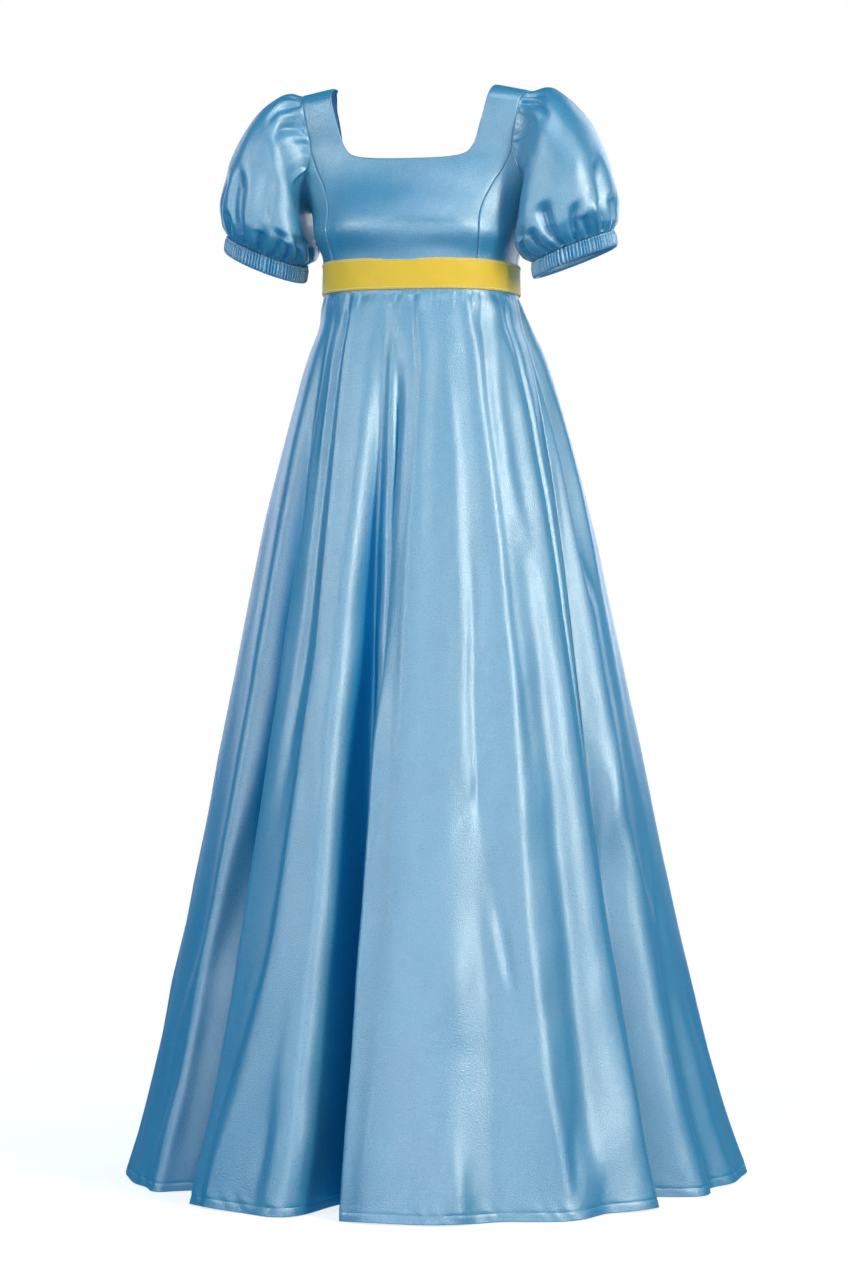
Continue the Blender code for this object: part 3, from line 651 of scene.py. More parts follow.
# Creases on the bodice, from one place to another: x is towards the wearer's left, and back is 1 behind.
BodiceCrease = namedtuple("BodiceCrease", "x drop to_x to_drop width depth back")
BODICE_CREASES = table(
    BodiceCrease,
    (-0.112, 0.160, -0.094, 0.235, 0.007, 0.0007, 0),
    (0.112, 0.135, 0.088, 0.215, 0.008, 0.0009, 0),
    (0.120, 0.158, 0.104, 0.232, 0.007, 0.0010, 0),
    (0.098, 0.165, 0.088, 0.230, 0.006, -0.0007, 0),
    (-0.120, 0.160, -0.060, 0.200, 0.010, 0.0010, 1),
    (-0.100, 0.190, -0.040, 0.225, 0.008, 0.0007, 1),
    (0.115, 0.155, 0.066, 0.205, 0.009, 0.0009, 1),
    (0.090, 0.195, 0.030, 0.220, 0.008, 0.0006, 1),
)
BUST_LIFT = 0.0080  # how far the front stands out in a soft ridge across the bust
BUST_LIFT_DROP = 0.193
BUST_LIFT_REACH = 0.025
BUST_BRIDGE = 0.9  # share of the fullness that the taut cloth keeps between its two sides

# Shares of a lattice's columns: a half front below its neck, and a back below its neck and below its strap.
FRONT_NECK_SHARE = 0.58
BACK_NECK_SHARE = 0.40
BACK_STRAP_SHARE = 0.24
BODICE_PITCH = 0.0026  # distance between the rows of the front and sides
BACK_PITCH = 0.0028
FRONT_SEED = 11
PRESS_CLEAR = 0.012  # how far from a seam the creases begin


def bodice_press(points, seed, edges):
    """Creases and slack of a bodice panel."""
    press = np.zeros(points.shape[:2])
    x, y, drop = points[..., 0], points[..., 1], -points[..., 2]
    behind = (y > 0.02).astype(float)
    for crease in BODICE_CREASES:
        way = np.array((crease.to_x - crease.x, crease.to_drop - crease.drop))
        length = np.hypot(*way)
        way = way / length
        on = ((x - crease.x) * way[0] + (drop - crease.drop) * way[1]) / length
        off = (x - crease.x) * way[1] - (drop - crease.drop) * way[0]
        fade = ease(on / 0.35) * (1 - ease((on - 0.65) / 0.35))
        same_side = behind if crease.back else 1 - behind
        press = press + crease.depth * bell(off, crease.width) * fade * same_side
    forward = ease((0.01 - y) / 0.07)
    lift = BUST_LIFT * bell(drop - BUST_LIFT_DROP, BUST_LIFT_REACH) * forward
    inside = 1 - bell(np.abs(x) - BUST_APART, BUST_SPREAD)
    bridge = np.where(np.abs(x) < BUST_APART, inside, 0.0)
    lift = lift + BUST_BRIDGE * BUST_FULLNESS * bridge * bell(drop - BUST_DROP, BUST_HEIGHT) * forward
    press = press + slack(x, drop, BODICE_SLACK, seed)
    return press * clear_of(points, edges, PRESS_CLEAR) - lift


def bodice_front():
    """The centre front: the left half below the neck, its other half, then both straps."""
    across = shares(0.055, 0.0022)
    up = shares(0.160, BODICE_PITCH)
    under_neck = np.linspace(0, FRONT_NECK_SHARE, 33)[:-3]
    near_corner = FRONT_NECK_SHARE - 0.0015 * np.array((6, 3, 1.4))
    under_strap = FRONT_NECK_SHARE + (1 - FRONT_NECK_SHARE) * across
    columns = np.concatenate([under_neck, near_corner, under_strap])
    places = below_neck(FRONT_NECK, FRONT_ARMHOLE, columns, up, 0.0, 1 - FRONT_NECK_SHARE, princess_seam)
    low = body(*places)
    top = body(*strap(FRONT_NECK, FRONT_ARMHOLE, across, shares(0.125, BODICE_PITCH)))
    corner = len(columns) - len(across)
    roll = tucks(low, "n", NECK_ROLL)
    roll[:, corner + 1 :] = 0
    low_press = bodice_press(low, FRONT_SEED, "e") + tucks(low, "e") + roll
    top_press = bodice_press(top, FRONT_SEED, "en") + tucks(top, "en") + tucks(top, "w", NECK_ROLL)
    low = sheet(trimmed(low, "es"), low_press)
    top = sheet(trimmed(top, "en"), top_press)
    return [low, other_side(low), top, other_side(top)]


def bodice_side(seed):
    """The left side front, between the princess seam and the side seam."""

    def head(u):
        return along_edge(FRONT_ARMHOLE, STRAP_END + np.asarray(u) * (HOLE_END - STRAP_END))

    foot = straight(princess_seam(0.0), (90.0, WAIST_PATH))
    side = straight((90.0, WAIST_PATH), (90.0, FRONT_ARMHOLE[-1].path))
    places = patch(foot, head, princess_seam, side, shares(0.075, 0.0024), shares(0.12, BODICE_PITCH))
    points = trimmed(body(*places), "wesn")
    return [sheet(points, bodice_press(points, seed, "wen") + tucks(points, "wen"))]


def bodice_back(seed):
    """The left back: its lower part, then its strap."""
    hole_share = 1 - BACK_NECK_SHARE - BACK_STRAP_SHARE
    across = shares(0.055, 0.0024)
    under_neck = BACK_NECK_SHARE * shares(0.095, 0.0030)
    under_strap = BACK_NECK_SHARE + BACK_STRAP_SHARE * across
    under_hole = 1 - hole_share + hole_share * shares(0.08, BACK_PITCH)
    columns = np.concatenate([under_neck, under_strap[1:], under_hole[1:]])
    side = straight((90.0, WAIST_PATH), (90.0, BACK_ARMHOLE[-1].path))
    up = shares(0.15, BACK_PITCH)
    low = below_neck(BACK_NECK, BACK_ARMHOLE, columns, up, hole_share, BACK_STRAP_SHARE, side)
    top = strap(BACK_NECK, BACK_ARMHOLE, across, shares(0.130, BACK_PITCH))
    low, top = (body(180.0 - angle, path)[:, ::-1] for angle, path in (low, top))
    hole_end = len(under_hole) - 1
    neck_start = hole_end + len(across) - 1
    roll = tucks(low, "n")
    roll[:, hole_end + 1 : neck_start] = 0
    roll[:, neck_start:] *= NECK_ROLL / SEAM_TUCK
    low_press = bodice_press(low, seed, "we") + tucks(low, "we") + roll
    top_press = bodice_press(top, seed, "wn") + tucks(top, "wn") + tucks(top, "e", NECK_ROLL)
    return [sheet(low, low_press), sheet(top, top_press)]


# ---- sleeves ----

# Puckers on each sleeve, up from the cuff where end is 1 and down from the armhole where start is 0. Start
# and end are shares of the sleeve, turns go round it from its top by way of the front, and leans are degrees.
Pucker = namedtuple("Pucker", "turn start end width depth lean")
LEFT_PUCKERS = table(  # the wearer's left
    Pucker,
    (89, 0.60, 1.0, 8.0, 0.0111, 9.0),
    (72, 0.72, 1.0, 7.0, 0.0091, -11.0),
    (29, 0.57, 1.0, 9.0, 0.0117, -9.0),
    (54, 0.82, 1.0, 5.0, 0.0059, 0.0),
    (40, 0.76, 1.0, 3.5, -0.0034, 0.0),
    (8, 0.74, 1.0, 6.0, 0.0059, 3.0),
    (112, 0.74, 1.0, 7.0, 0.0072, 2.0),
    (136, 0.66, 1.0, 8.0, 0.0078, -5.0),
    (162, 0.74, 1.0, 7.0, 0.0065, 4.0),
    (188, 0.60, 1.0, 9.0, 0.0091, 6.0),
    (214, 0.72, 1.0, 7.0, 0.0065, -3.0),
    (241, 0.57, 1.0, 9.0, 0.0104, -8.0),
    (266, 0.74, 1.0, 6.0, 0.0059, 4.0),
    (293, 0.61, 1.0, 9.0, 0.0097, 7.0),
    (320, 0.72, 1.0, 7.0, 0.0065, -5.0),
    (343, 0.62, 1.0, 8.0, 0.0084, 0.0),
    (44, 0.00, 0.34, 5.0, 0.0065, 10.0),
    (53, 0.00, 0.28, 4.5, -0.0034, 10.0),
    (30, 0.00, 0.26, 4.5, 0.0049, 9.0),
    (14, 0.00, 0.20, 4.5, 0.0038, 4.0),
    (352, 0.00, 0.24, 5.0, 0.0040, -6.0),
    (330, 0.00, 0.30, 5.0, 0.0047, -12.0),
    (310, 0.00, 0.24, 5.0, 0.0043, -14.0),
)
RIGHT_PUCKERS = table(  # the wearer's right
    Pucker,
    (74, 0.52, 1.0, 8.5, 0.0117, -15.0),
    (97, 0.34, 1.0, 13.0, 0.0060, -3.0),
    (94, 0.80, 1.0, 5.0, 0.0065, 0.0),
    (114, 0.70, 1.0, 7.5, 0.0084, 6.0),
    (130, 0.80, 1.0, 5.0, 0.0059, 0.0),
    (147, 0.64, 1.0, 9.0, 0.0091, 4.0),
    (52, 0.76, 1.0, 5.5, 0.0059, 0.0),
    (28, 0.60, 1.0, 8.0, 0.0084, 5.0),
    (6, 0.74, 1.0, 6.0, 0.0059, -3.0),
    (172, 0.70, 1.0, 7.0, 0.0065, -3.0),
    (200, 0.60, 1.0, 9.0, 0.0097, -6.0),
    (226, 0.72, 1.0, 7.0, 0.0072, 5.0),
    (252, 0.62, 1.0, 8.0, 0.0078, 0.0),
    (281, 0.58, 1.0, 9.0, 0.0104, -7.0),
    (307, 0.72, 1.0, 7.0, 0.0065, 5.0),
    (334, 0.63, 1.0, 8.0, 0.0084, 0.0),
    (37, 0.00, 0.32, 4.5, 0.0063, 17.0),
    (50, 0.00, 0.28, 4.0, -0.0038, 13.0),
    (62, 0.00, 0.28, 4.5, 0.0058, 14.0),
    (74, 0.00, 0.20, 4.0, -0.0025, 8.0),
    (119, 0.00, 0.24, 3.6, -0.0034, 0.0),
    (20, 0.00, 0.22, 4.5, 0.0045, 6.0),
    (2, 0.00, 0.26, 4.5, 0.0045, -5.0),
    (342, 0.00, 0.22, 4.5, 0.0040, -10.0),
    (318, 0.00, 0.28, 5.0, 0.0047, -14.0),
)
# How a pucker begins at its seam: its share of the width there, how much more it has at its far end, and the
# share of its length over which it dies away.
PuckerForm = namedtuple("PuckerForm", "share spread fading")
CUFF_PUCKER = PuckerForm(0.34, 0.76, 0.26)
HEAD_PUCKER = PuckerForm(0.75, 0.50, 0.55)

# Soft swellings, where and how far they reach: a depth below zero stands out, as for the puckers.
Swell = namedtuple("Swell", "turn along wide long depth")
LEFT_SWELLS = table(
    Swell,
    (70, 0.34, 13, 0.10, -0.0022),
    (45, 0.60, 16, 0.10, -0.0020),
    (245, 0.38, 14, 0.11, -0.0022),
)
RIGHT_SWELLS = table(
    Swell,
    (82, 0.28, 11, 0.08, -0.0022),
    (97, 0.73, 9, 0.06, -0.0026),
    (240, 0.38, 14, 0.11, -0.0022),
)
SLEEVE_COLUMNS = 253
SLEEVE_ROUND = 0.45  # length round the sleeve


def pucker_press(puckers, turn, along):
    """The press of a sleeve's puckers."""
    press = np.zeros(turn.shape)
    for pucker in puckers:
        at_cuff = pucker.end >= 1.0
        form = CUFF_PUCKER if at_cuff else HEAD_PUCKER
        share = (along - pucker.start) / (pucker.end - pucker.start)
        from_seam = 1 - share if at_cuff else share
        away = off_angle(turn - pucker.turn, pucker.lean * from_seam)
        width = pucker.width * (form.share + form.spread * np.clip(from_seam, 0, 1))
        fade = ease((1 - from_seam) / form.fading) * (from_seam <= 1) * (from_seam >= 0)
        size = pucker.depth * (0.45 + 0.55 * ease(from_seam / 0.5))
        press = press + size * bell(away, width) * fade
    return press


def sleeve(puckers, swells, seed):
    """The left sleeve from the armhole to the cuff."""
    round_it = np.linspace(0, 360, SLEEVE_COLUMNS)
    first, last = (0.0, 0.003, 0.008), (0.993, 1.0)
    out = np.concatenate([first, np.linspace(0.016, 0.80, 58), np.linspace(0.81, 0.985, 26), last])
    turn, along = np.meshgrid(round_it, out)
    rim, heading = armhole_points(turn)
    start = rim + heading * (SEAM_GAP / 2 + SLEEVE_SET * np.minimum(along / SLEEVE_START, 1)[..., None])
    blend = ease(along / SLEEVE_START)[..., None]
    points = start * (1 - blend) + sleeve_ring(turn, along) * blend
    up = along_cloth(points, 0)
    from_cuff = up[-1:] - up
    share = turn / 360
    over_top = ease((np.cos(np.radians(turn)) + 0.35) / 0.6)
    press = over_top * gathers(share, up, HEAD_GATHERS, seed)
    press = press + gathers(share, from_cuff, CUFF_GATHERS, seed + 5)
    press = press + pucker_press(puckers, turn, along)
    for swell in swells:
        round_bell = bell(off_angle(turn, swell.turn), swell.wide)
        press = press + swell.depth * round_bell * bell(along - swell.along, swell.long)
    press = press + slack(share * SLEEVE_ROUND, up, SLEEVE_SLACK, seed + 9)
    ends = ease(up / 0.004) * (0.35 + 0.65 * ease(from_cuff / 0.004))
    press = press * ends + SEAM_TUCK * np.exp(-up / EDGE_REACH)
    return Sheet(points, press, flat_map(points))


# The cuff's cross-section: how far down, how far out, how much of the ribs and how much scalloping.
CUFF_PROFILE = (
    (0.00, 0.0, 0.0, 0.0),
    (-0.02, 0.35, 0.2, 0.6),
    (-0.01, 0.70, 0.5, 1.0),
    (0.04, 0.90, 0.8, 0.8),
    (0.10, 0.85, 0.8, 0.3),
    (0.14, 0.72, 0.9, 0.0),
    (0.20, 0.95, 1.0, 0.0),
    (0.35, 1.05, 1.0, 0.0),
    (0.50, 1.08, 1.0, 0.0),
    (0.65, 1.05, 1.0, 0.0),
    (0.80, 0.98, 1.0, 0.0),
    (0.90, 0.92, 0.9, 0.0),
    (0.97, 0.75, 0.6, -0.5),
    (1.00, 0.45, 0.3, -0.5),
    (1.00, 0.0, 0.0, 0.0),
    (0.66, 0.0, 0.0, 0.0),
    (0.33, 0.0, 0.0, 0.0),
    (0.00, 0.0, 0.0, 0.0),
)
CUFF_RELIEF = 0.0040  # how far the ribs stand out
CUFF_SCALLOP = 0.0009
CUFF_SET = 0.0006  # from the sleeve's end to the cuff
FINE_RIBS = 76  # to a full turn, as the elastic ruches the cuff


def cuff(seed):
    """The left cuff, closed both ways: ruched outside and plain inside."""
    turn = np.linspace(0, 360, 8 * FINE_RIBS + 1)
    edge = sleeve_ring(turn, 1.0)
    middle = sleeve_ring(np.array((0.0, 180.0)), 1.0).mean(axis=0)
    spoke = edge - middle
    spoke /= np.linalg.norm(spoke, axis=-1, keepdims=True)
    down = np.array((CUFF_SPLAY, 0.0, -1.0))
    phase = FINE_RIBS * turn / 360 + uneven(turn / 360, -0.3, 0.3, seed, 20)
    rib = np.sqrt(np.sin(np.pi * phase) ** 2 + 0.02) * uneven(turn / 360, 0.75, 1.0, seed + 1, 30)
    inner = edge - spoke * WALL
    rows = []
    for down_share, out_share, relief, lift in CUFF_PROFILE:
        out = out_share * CUFF_WALL + relief * CUFF_RELIEF * rib
        drop = SEAM_GAP + CUFF_SET + down_share * CUFF_WIDTH - lift * CUFF_SCALLOP * rib
        rows.append(inner + spoke * out[:, None] + down * drop[:, None])
    points = np.array(rows)
    return Sheet(points, np.zeros(points.shape[:2]), flat_map(points))


# ---- skirt ----

# Creases of the skirt's sides and back, from one angle at the top to another at the foot. Width and depth are
# those at the hem, and a depth below zero is a soft ridge.
SkirtCrease = namedtuple("SkirtCrease", "angle to_angle top foot width depth")
SKIRT_CREASES = table(
    SkirtCrease,
    (-57, -58, 0.34, 1.25, 0.026, 0.0040),
    (94, 92, 0.30, 1.05, 0.022, 0.0042),
    (112, 110, 0.29, 1.22, 0.024, 0.0045),
    (127, 125, 0.28, 0.98, 0.018, -0.0042),
    (141, 142, 0.31, 1.42, 0.024, 0.0048),
    (155, 157, 0.28, 1.12, 0.016, -0.0040),
    (170, 168, 0.30, 1.32, 0.022, 0.0044),
    (-175, -173, 0.29, 1.08, 0.018, -0.0042),
    (-160, -162, 0.27, 1.36, 0.024, 0.0046),
    (-147, -145, 0.30, 0.92, 0.016, -0.0038),
    (-133, -131, 0.30, 1.42, 0.023, 0.0046),
    (-118, -120, 0.28, 1.14, 0.020, -0.0044),
    (-105, -104, 0.32, 1.24, 0.020, 0.0040),
    (-91, -93, 0.29, 1.02, 0.022, -0.0038),
    (-75, -74, 0.30, 1.32, 0.022, 0.0038),
)
# Longer lines of the front: width and depth where the line ends, and its places as angle and drop. A line
# whose skew is above zero is steeper on the wearer's left, and one whose skew is below zero on the right.
SkirtLine = namedtuple("SkirtLine", "width depth skew places")
SKIRT_LINES = table(
    SkirtLine,
    (0.018, -0.0040, 0.0, ((-43, 0.42), (-45, 0.70), (-45.5, 0.79), (-46.5, 0.98), (-48, 1.10), (-53, 1.18),
        (-56, 1.40))),
    (0.015, 0.0120, 0.0, ((-34, 0.50), (-38, 0.80), (-41, 0.90), (-43, 0.98), (-44.5, 1.10), (-45, 1.40))),
    (0.006, -0.0024, 0.0, ((-30, 0.29), (-28.5, 0.36), (-26.5, 0.42), (-25.5, 0.52))),
    (0.008, 0.0060, 0.0, ((-25.5, 0.27), (-24.4, 0.36), (-23, 0.52), (-22, 0.66), (-23, 0.81),
        (-23.5, 1.00))),
    (0.015, -0.0078, -0.62, ((-21.5, 0.27), (-20.3, 0.40), (-18.4, 0.60), (-18.2, 0.70), (-19.3, 0.87),
        (-20.5, 1.11), (-24, 1.29), (-24.5, 1.42))),
    (0.021, -0.0042, 0.0, ((-10.2, 0.36), (-9.8, 0.47), (-10.8, 0.61), (-12.8, 0.70), (-13.5, 0.86),
        (-10.5, 0.96), (-9.2, 1.04), (-9.0, 1.18), (-9.5, 1.42))),
    (0.014, 0.0060, 0.0, ((-4, 0.70), (-5, 0.84), (-5.5, 0.98), (-5, 1.09), (-7, 1.42))),
    (0.0135, 0.0175, -0.42, ((1.2, 0.31), (1.5, 0.37), (1.6, 0.52), (1.8, 0.66), (2.4, 0.86))),
    (0.016, -0.0055, -0.40, ((9, 0.27), (12, 0.37), (11, 0.44), (9.6, 0.62), (9.2, 0.86), (8.8, 1.10),
        (8, 1.28), (7.5, 1.42))),
    (0.024, 0.0020, 0.0, ((15, 0.33), (15.5, 0.70), (14, 1.20))),
    (0.013, -0.0020, 0.0, ((20.5, 0.33), (23.3, 0.46), (24, 0.65), (25, 0.72), (23.4, 0.82), (25.2, 0.90),
        (26, 1.05))),
    (0.009, 0.0016, 0.0, ((27, 0.56), (28, 0.66), (27, 0.80), (28, 0.98))),
    (0.017, -0.0040, 0.0, ((34, 0.27), (35.8, 0.33), (35, 0.41), (37.5, 0.56), (38.8, 0.76), (37.6, 0.90),
        (36.8, 1.06), (39.5, 1.30), (41.5, 1.42))),
    (0.0100, 0.0018, 0.0, ((44, 0.27), (40.5, 0.34), (38.8, 0.41), (39.8, 0.60), (41, 0.74), (43, 0.85),
        (43.2, 1.00))),
    (0.018, -0.0034, 0.0, ((51, 0.27), (46.5, 0.34), (43.2, 0.42), (44, 0.51), (49.5, 0.61), (52.5, 0.74),
        (53.5, 0.95), (54, 1.22))),
    (0.018, 0.0024, 0.0, ((47, 0.90), (49, 1.05), (48, 1.20), (46, 1.42))),
    (0.018, -0.0036, 0.40, ((52, 0.27), (53, 0.38), (54, 0.51), (54.5, 0.66), (55, 0.90), (55.3, 1.15),
        (56, 1.42))),
    (0.007, 0.0060, 0.0, ((58, 0.27), (58.5, 0.38), (59.4, 0.56), (60.2, 0.85), (60.5, 1.15))),
    (0.018, 0.0260, -0.50, ((77, 0.265), (75, 0.30), (74, 0.35), (76, 0.40), (77.5, 0.48), (78, 0.68))),
    (0.024, -0.0040, 0.0, ((94, 0.28), (95, 0.33), (92, 0.44), (89, 0.53), (86, 0.70), (82, 1.34))),
    (0.020, -0.0046, 0.0, ((67, 0.79), (71, 0.85), (75, 0.98), (82, 1.08), (89, 1.22), (90, 1.42))),
)
# Short dents: where, how wide, how long, the degrees that the top leans round, and depth as for the creases.
SkirtDent = namedtuple("SkirtDent", "angle drop wide long lean depth")
SKIRT_DENTS = table(
    SkirtDent,
    (24.5, 0.925, 0.006, 0.026, 3.0, 0.0022),
    (27.5, 0.905, 0.006, 0.020, 0.0, 0.0016),
    (32.3, 1.095, 0.007, 0.050, -1.0, 0.0034),
    (29.5, 1.080, 0.010, 0.045, -1.0, -0.0022),
    (21.5, 1.130, 0.024, 0.060, 0.0, -0.0034),
    (17.5, 1.190, 0.012, 0.016, 2.0, 0.0016),
    (23.5, 1.212, 0.030, 0.004, 6.0, 0.0013),
    (13.0, 1.020, 0.020, 0.070, -2.0, -0.0026),
    (20.0, 1.375, 0.016, 0.050, 0.0, -0.0034),
    (9.5, 1.330, 0.018, 0.070, 2.0, -0.0040),
    (36.0, 1.250, 0.018, 0.070, -2.0, -0.0032),
    (48.0, 1.360, 0.020, 0.070, 3.0, -0.0040),
    (43.0, 1.340, 0.012, 0.060, 2.0, 0.0036),
    (56.0, 1.300, 0.016, 0.090, 1.0, -0.0040),
    (-42.0, 1.180, 0.014, 0.060, -2.0, -0.0040),
    (-50.0, 1.340, 0.020, 0.070, 3.0, -0.0044),
    (-57.0, 1.290, 0.016, 0.080, -2.0, 0.0040),
    (-24.0, 1.340, 0.013, 0.080, 2.0, -0.0040),
    (-17.0, 1.330, 0.012, 0.070, 0.0, 0.0034),
    (-10.0, 1.340, 0.012, 0.080, -1.0, -0.0036),
    (72.0, 0.930, 0.016, 0.080, 5.0, -0.0050),
    (84.0, 1.050, 0.014, 0.060, 4.0, -0.0034),
    (97.0, 1.220, 0.016, 0.070, -3.0, 0.0034),
    (118.0, 0.900, 0.012, 0.050, 3.0, 0.0030),
    (133.0, 1.160, 0.018, 0.070, -3.0, -0.0038),
    (140.0, 0.760, 0.010, 0.040, 2.0, 0.0026),
    (158.0, 1.060, 0.007, 0.045, -1.0, 0.0030),
    (166.0, 1.320, 0.018, 0.070, 2.0, -0.0040),
    (-178.0, 0.960, 0.014, 0.060, 0.0, 0.0030),
    (-168.0, 1.200, 0.026, 0.005, 6.0, 0.0012),
    (-155.0, 1.100, 0.018, 0.060, -2.0, -0.0036),
    (-141.0, 0.840, 0.010, 0.050, 2.0, 0.0028),
    (-128.0, 1.310, 0.018, 0.080, 0.0, -0.0040),
    (-112.0, 1.010, 0.008, 0.050, -2.0, 0.0030),
    (-98.0, 1.240, 0.018, 0.070, 2.0, -0.0036),
    (-83.0, 0.880, 0.014, 0.060, 2.0, 0.0030),
    (-72.0, 1.150, 0.014, 0.070, -2.0, -0.0034),
)
HEM_STITCH = 0.0105  # height of the hem's stitching above its edge
HEM_PUCKERS = 92  # to a full turn
HEM_FLUTES = 30  # the most to a full turn

FLUTE_DEPTH, FLUTE_REACH = 0.0034, 0.20  # of the hem's flutes
STITCH_PULL, STITCH_PULL_REACH = 0.0005, 0.0011  # of the hem's stitching
HEM_PUCKER_DEPTH, HEM_PUCKER_REACH = 0.0007, 0.011
HEM_RADIUS = 0.4  # roughly, to place the columns next to a seam
SEAM_CLEAR = 0.010  # how far from a seam the creases begin
WAIST_SEEDS = (71, 75)
LINE_FROM_WAIST = 0.30  # a line that starts above this drop comes out of the waist seam
LINE_TO_HEM = 1.40  # a line that ends below this drop runs on over the hem
HEM_ROWS = (  # heights of the lowest rows above the hem
    (0.060, 0.050, 0.041, 0.033, 0.026, 0.020, 0.0155, 0.0128, 0.0114, 0.0105, 0.0096)
    + (0.0082, 0.0055, 0.0028, 0.0010, 0.0)
)


def skirt_drops():
    """Rows from the waist to the hem, closer together at both."""
    return np.concatenate(
        [
            (WAIST_DROP, 0.258, 0.2665),
            np.linspace(0.2685, 0.300, 13)[:-1],
            np.linspace(0.300, 0.380, 18)[:-1],
            np.linspace(0.380, GOWN_LENGTH - 0.066, 74),
            GOWN_LENGTH - np.array(HEM_ROWS),
        ]
    )


def crease_press(angle, drop, radius):
    """The press of the creases of the sides and back."""
    press = np.zeros(angle.shape)
    size = 0.5 + 0.5 * np.clip((drop - WAIST_DROP) / (GOWN_LENGTH - WAIST_DROP), 0, 1)
    for number, crease in enumerate(SKIRT_CREASES):
        share = (drop - crease.top) / (crease.foot - crease.top)
        line = crease.angle + (crease.to_angle - crease.angle) * np.clip(share, 0, 1)
        wander = 0.55 * np.sin(drop * 13 + number * 1.7) + 0.16 * np.sin(drop * 31 + number * 2.9)
        away = np.radians(off_angle(angle, line + ease(share / 0.4) * wander)) * radius
        fade = ease(share / 0.22) * (0.90 + 0.10 * np.sin(drop * 9 + number * 4.1))
        if crease.foot < GOWN_LENGTH:
            fade = fade * (1 - ease((share - 0.50) / 0.50))
        press = press + crease.depth * size * bell(away, crease.width * size) * fade
    return press


def line_press(angle, drop, radius):
    """The press of the longer lines of the front."""
    press = np.zeros(angle.shape)
    for line in SKIRT_LINES:
        turns, drops = np.array(line.places).T
        above, here, below = (np.interp(drop + shift, drops, turns) for shift in (-0.03, 0.0, 0.03))
        away = np.radians(off_angle(angle, (above + 2 * here + below) / 4)) * radius
        away = away / (1 - line.skew * np.tanh(away / (0.3 * line.width)))
        done = np.clip((drop - drops[0]) / (drops[-1] - drops[0]), 0, 1)
        size = 0.6 + 0.4 * done
        fade = ease((drop - drops[0]) / (0.03 if drops[0] < LINE_FROM_WAIST else 0.12))
        if drops[-1] < LINE_TO_HEM:
            fade = fade * (1 - ease((done - 0.62) / 0.38))
        press = press + line.depth * size * bell(away, line.width * size) * fade
    return press


def dent_press(angle, drop, radius):
    """The press of the short dents."""
    press = np.zeros(angle.shape)
    for dent in SKIRT_DENTS:
        up = (dent.drop - drop) / dent.long
        lean = dent.lean * np.clip(up, -1.5, 1.5)
        away = np.radians(off_angle(angle - dent.angle, lean)) * radius
        press = press + dent.depth * bell(away, dent.wide) * bell(up, 1.0)
    return press


def hem_press(round_it, drop):
    """The press of the hem: its flutes, its stitching and the puckers beside that."""
    above = GOWN_LENGTH - drop
    flute = uneven(round_it, -1.0, 1.0, 83, HEM_FLUTES)
    press = FLUTE_DEPTH * flute * (1 - ease(above / FLUTE_REACH)) ** 1.5
    from_stitch = above - HEM_STITCH
    phase = round_it * HEM_PUCKERS + from_stitch / 0.030 + uneven(round_it, -0.6, 0.6, 81, 40)
    pucker = np.cos(2 * np.pi * phase) * uneven(round_it, 0.2, 1.0, 82, 30)
    press = press + STITCH_PULL * bell(from_stitch, STITCH_PULL_REACH)
    return press + HEM_PUCKER_DEPTH * pucker * bell(from_stitch, HEM_PUCKER_REACH)


def skirt(start, end, columns, seed):
    """A skirt panel between two angles of the hem."""
    span = np.radians(end - start) * HEM_RADIUS
    fine = np.array((0.0, 1.0, 2.4)) * 0.0014 / span
    middle = np.linspace(fine[-1] * 2, 1 - fine[-1] * 2, columns)
    angles = start + (end - start) * np.concatenate([fine, middle, 1 - fine[::-1]])
    angle, drop = np.meshgrid(angles, skirt_drops())
    points = skirt_points(angle, drop)
    radius = np.hypot(points[..., 0], points[..., 1] - SKIRT[-1].middle)
    place = (angle, drop, radius)
    press = crease_press(*place) + line_press(*place) + dent_press(*place)
    below = drop - FOLD_TOP
    round_it = (angle % 360) / 360
    started = ease(below / 0.004)
    for kind, waist_seed in zip((WAIST_GATHERS, FINE_WAIST_GATHERS), WAIST_SEEDS):
        press = press + started * gathers(round_it, below, kind, waist_seed)
    across = along_cloth(points, 1)
    for number, (kind, reach) in enumerate(zip(SKIRT_SLACKS, SKIRT_SLACK_STARTS)):
        press = press + slack(across, drop, kind, seed + number) * ease(below / reach)
    press = press + hem_press(round_it, drop)
    press = press * clear_of(points, "we", SEAM_CLEAR) + tucks(points, "we")
    turned = points[::-1]
    return [Sheet(trimmed(turned, "we"), press[::-1], flat_map(turned))]


# ---- ribbon ----

STITCH_INSET = 0.0024
RIBBON_COLUMNS = 289
RIBBON_ROUND = 0.74  # length round the waist
RIBBON_LIFT = 0.0003
RIBBON_SEED = 91
RIBBON_ROWS = (-0.0200, -0.0196, -0.0188, -0.0180, -0.0176, -0.0172, -0.0160, -0.0120, -0.0060)
STITCHED_ROW = 5  # the ribbon's row under the stitching, counted from either edge


def ribbon():
    """The ribbon, laid over the waist seam just clear of the cloth beneath."""
    rows = np.concatenate([RIBBON_ROWS, (0.0,), -np.array(RIBBON_ROWS[::-1])])
    turn, up = np.meshgrid(np.linspace(-180, 180, RIBBON_COLUMNS), rows)
    form = body(turn, WAIST_PATH - up)
    points = form + outward(form[::-1])[::-1] * (RIBBON_LIFT + RIBBON_WALL)
    inset = RIBBON_WIDTH / 2 - np.abs(up)
    press = 0.00022 * bell(inset - STITCH_INSET, 0.0007) + 0.0004 * np.exp(-inset / 0.0004)
    loose = slack(turn / 360 * RIBBON_ROUND, up, RIBBON_SLACK, RIBBON_SEED)
    press = press - RIBBON_LIFT - loose * ease(inset / 0.004)
    return [Sheet(points, press, flat_map(points))]


# ---- meshes ----


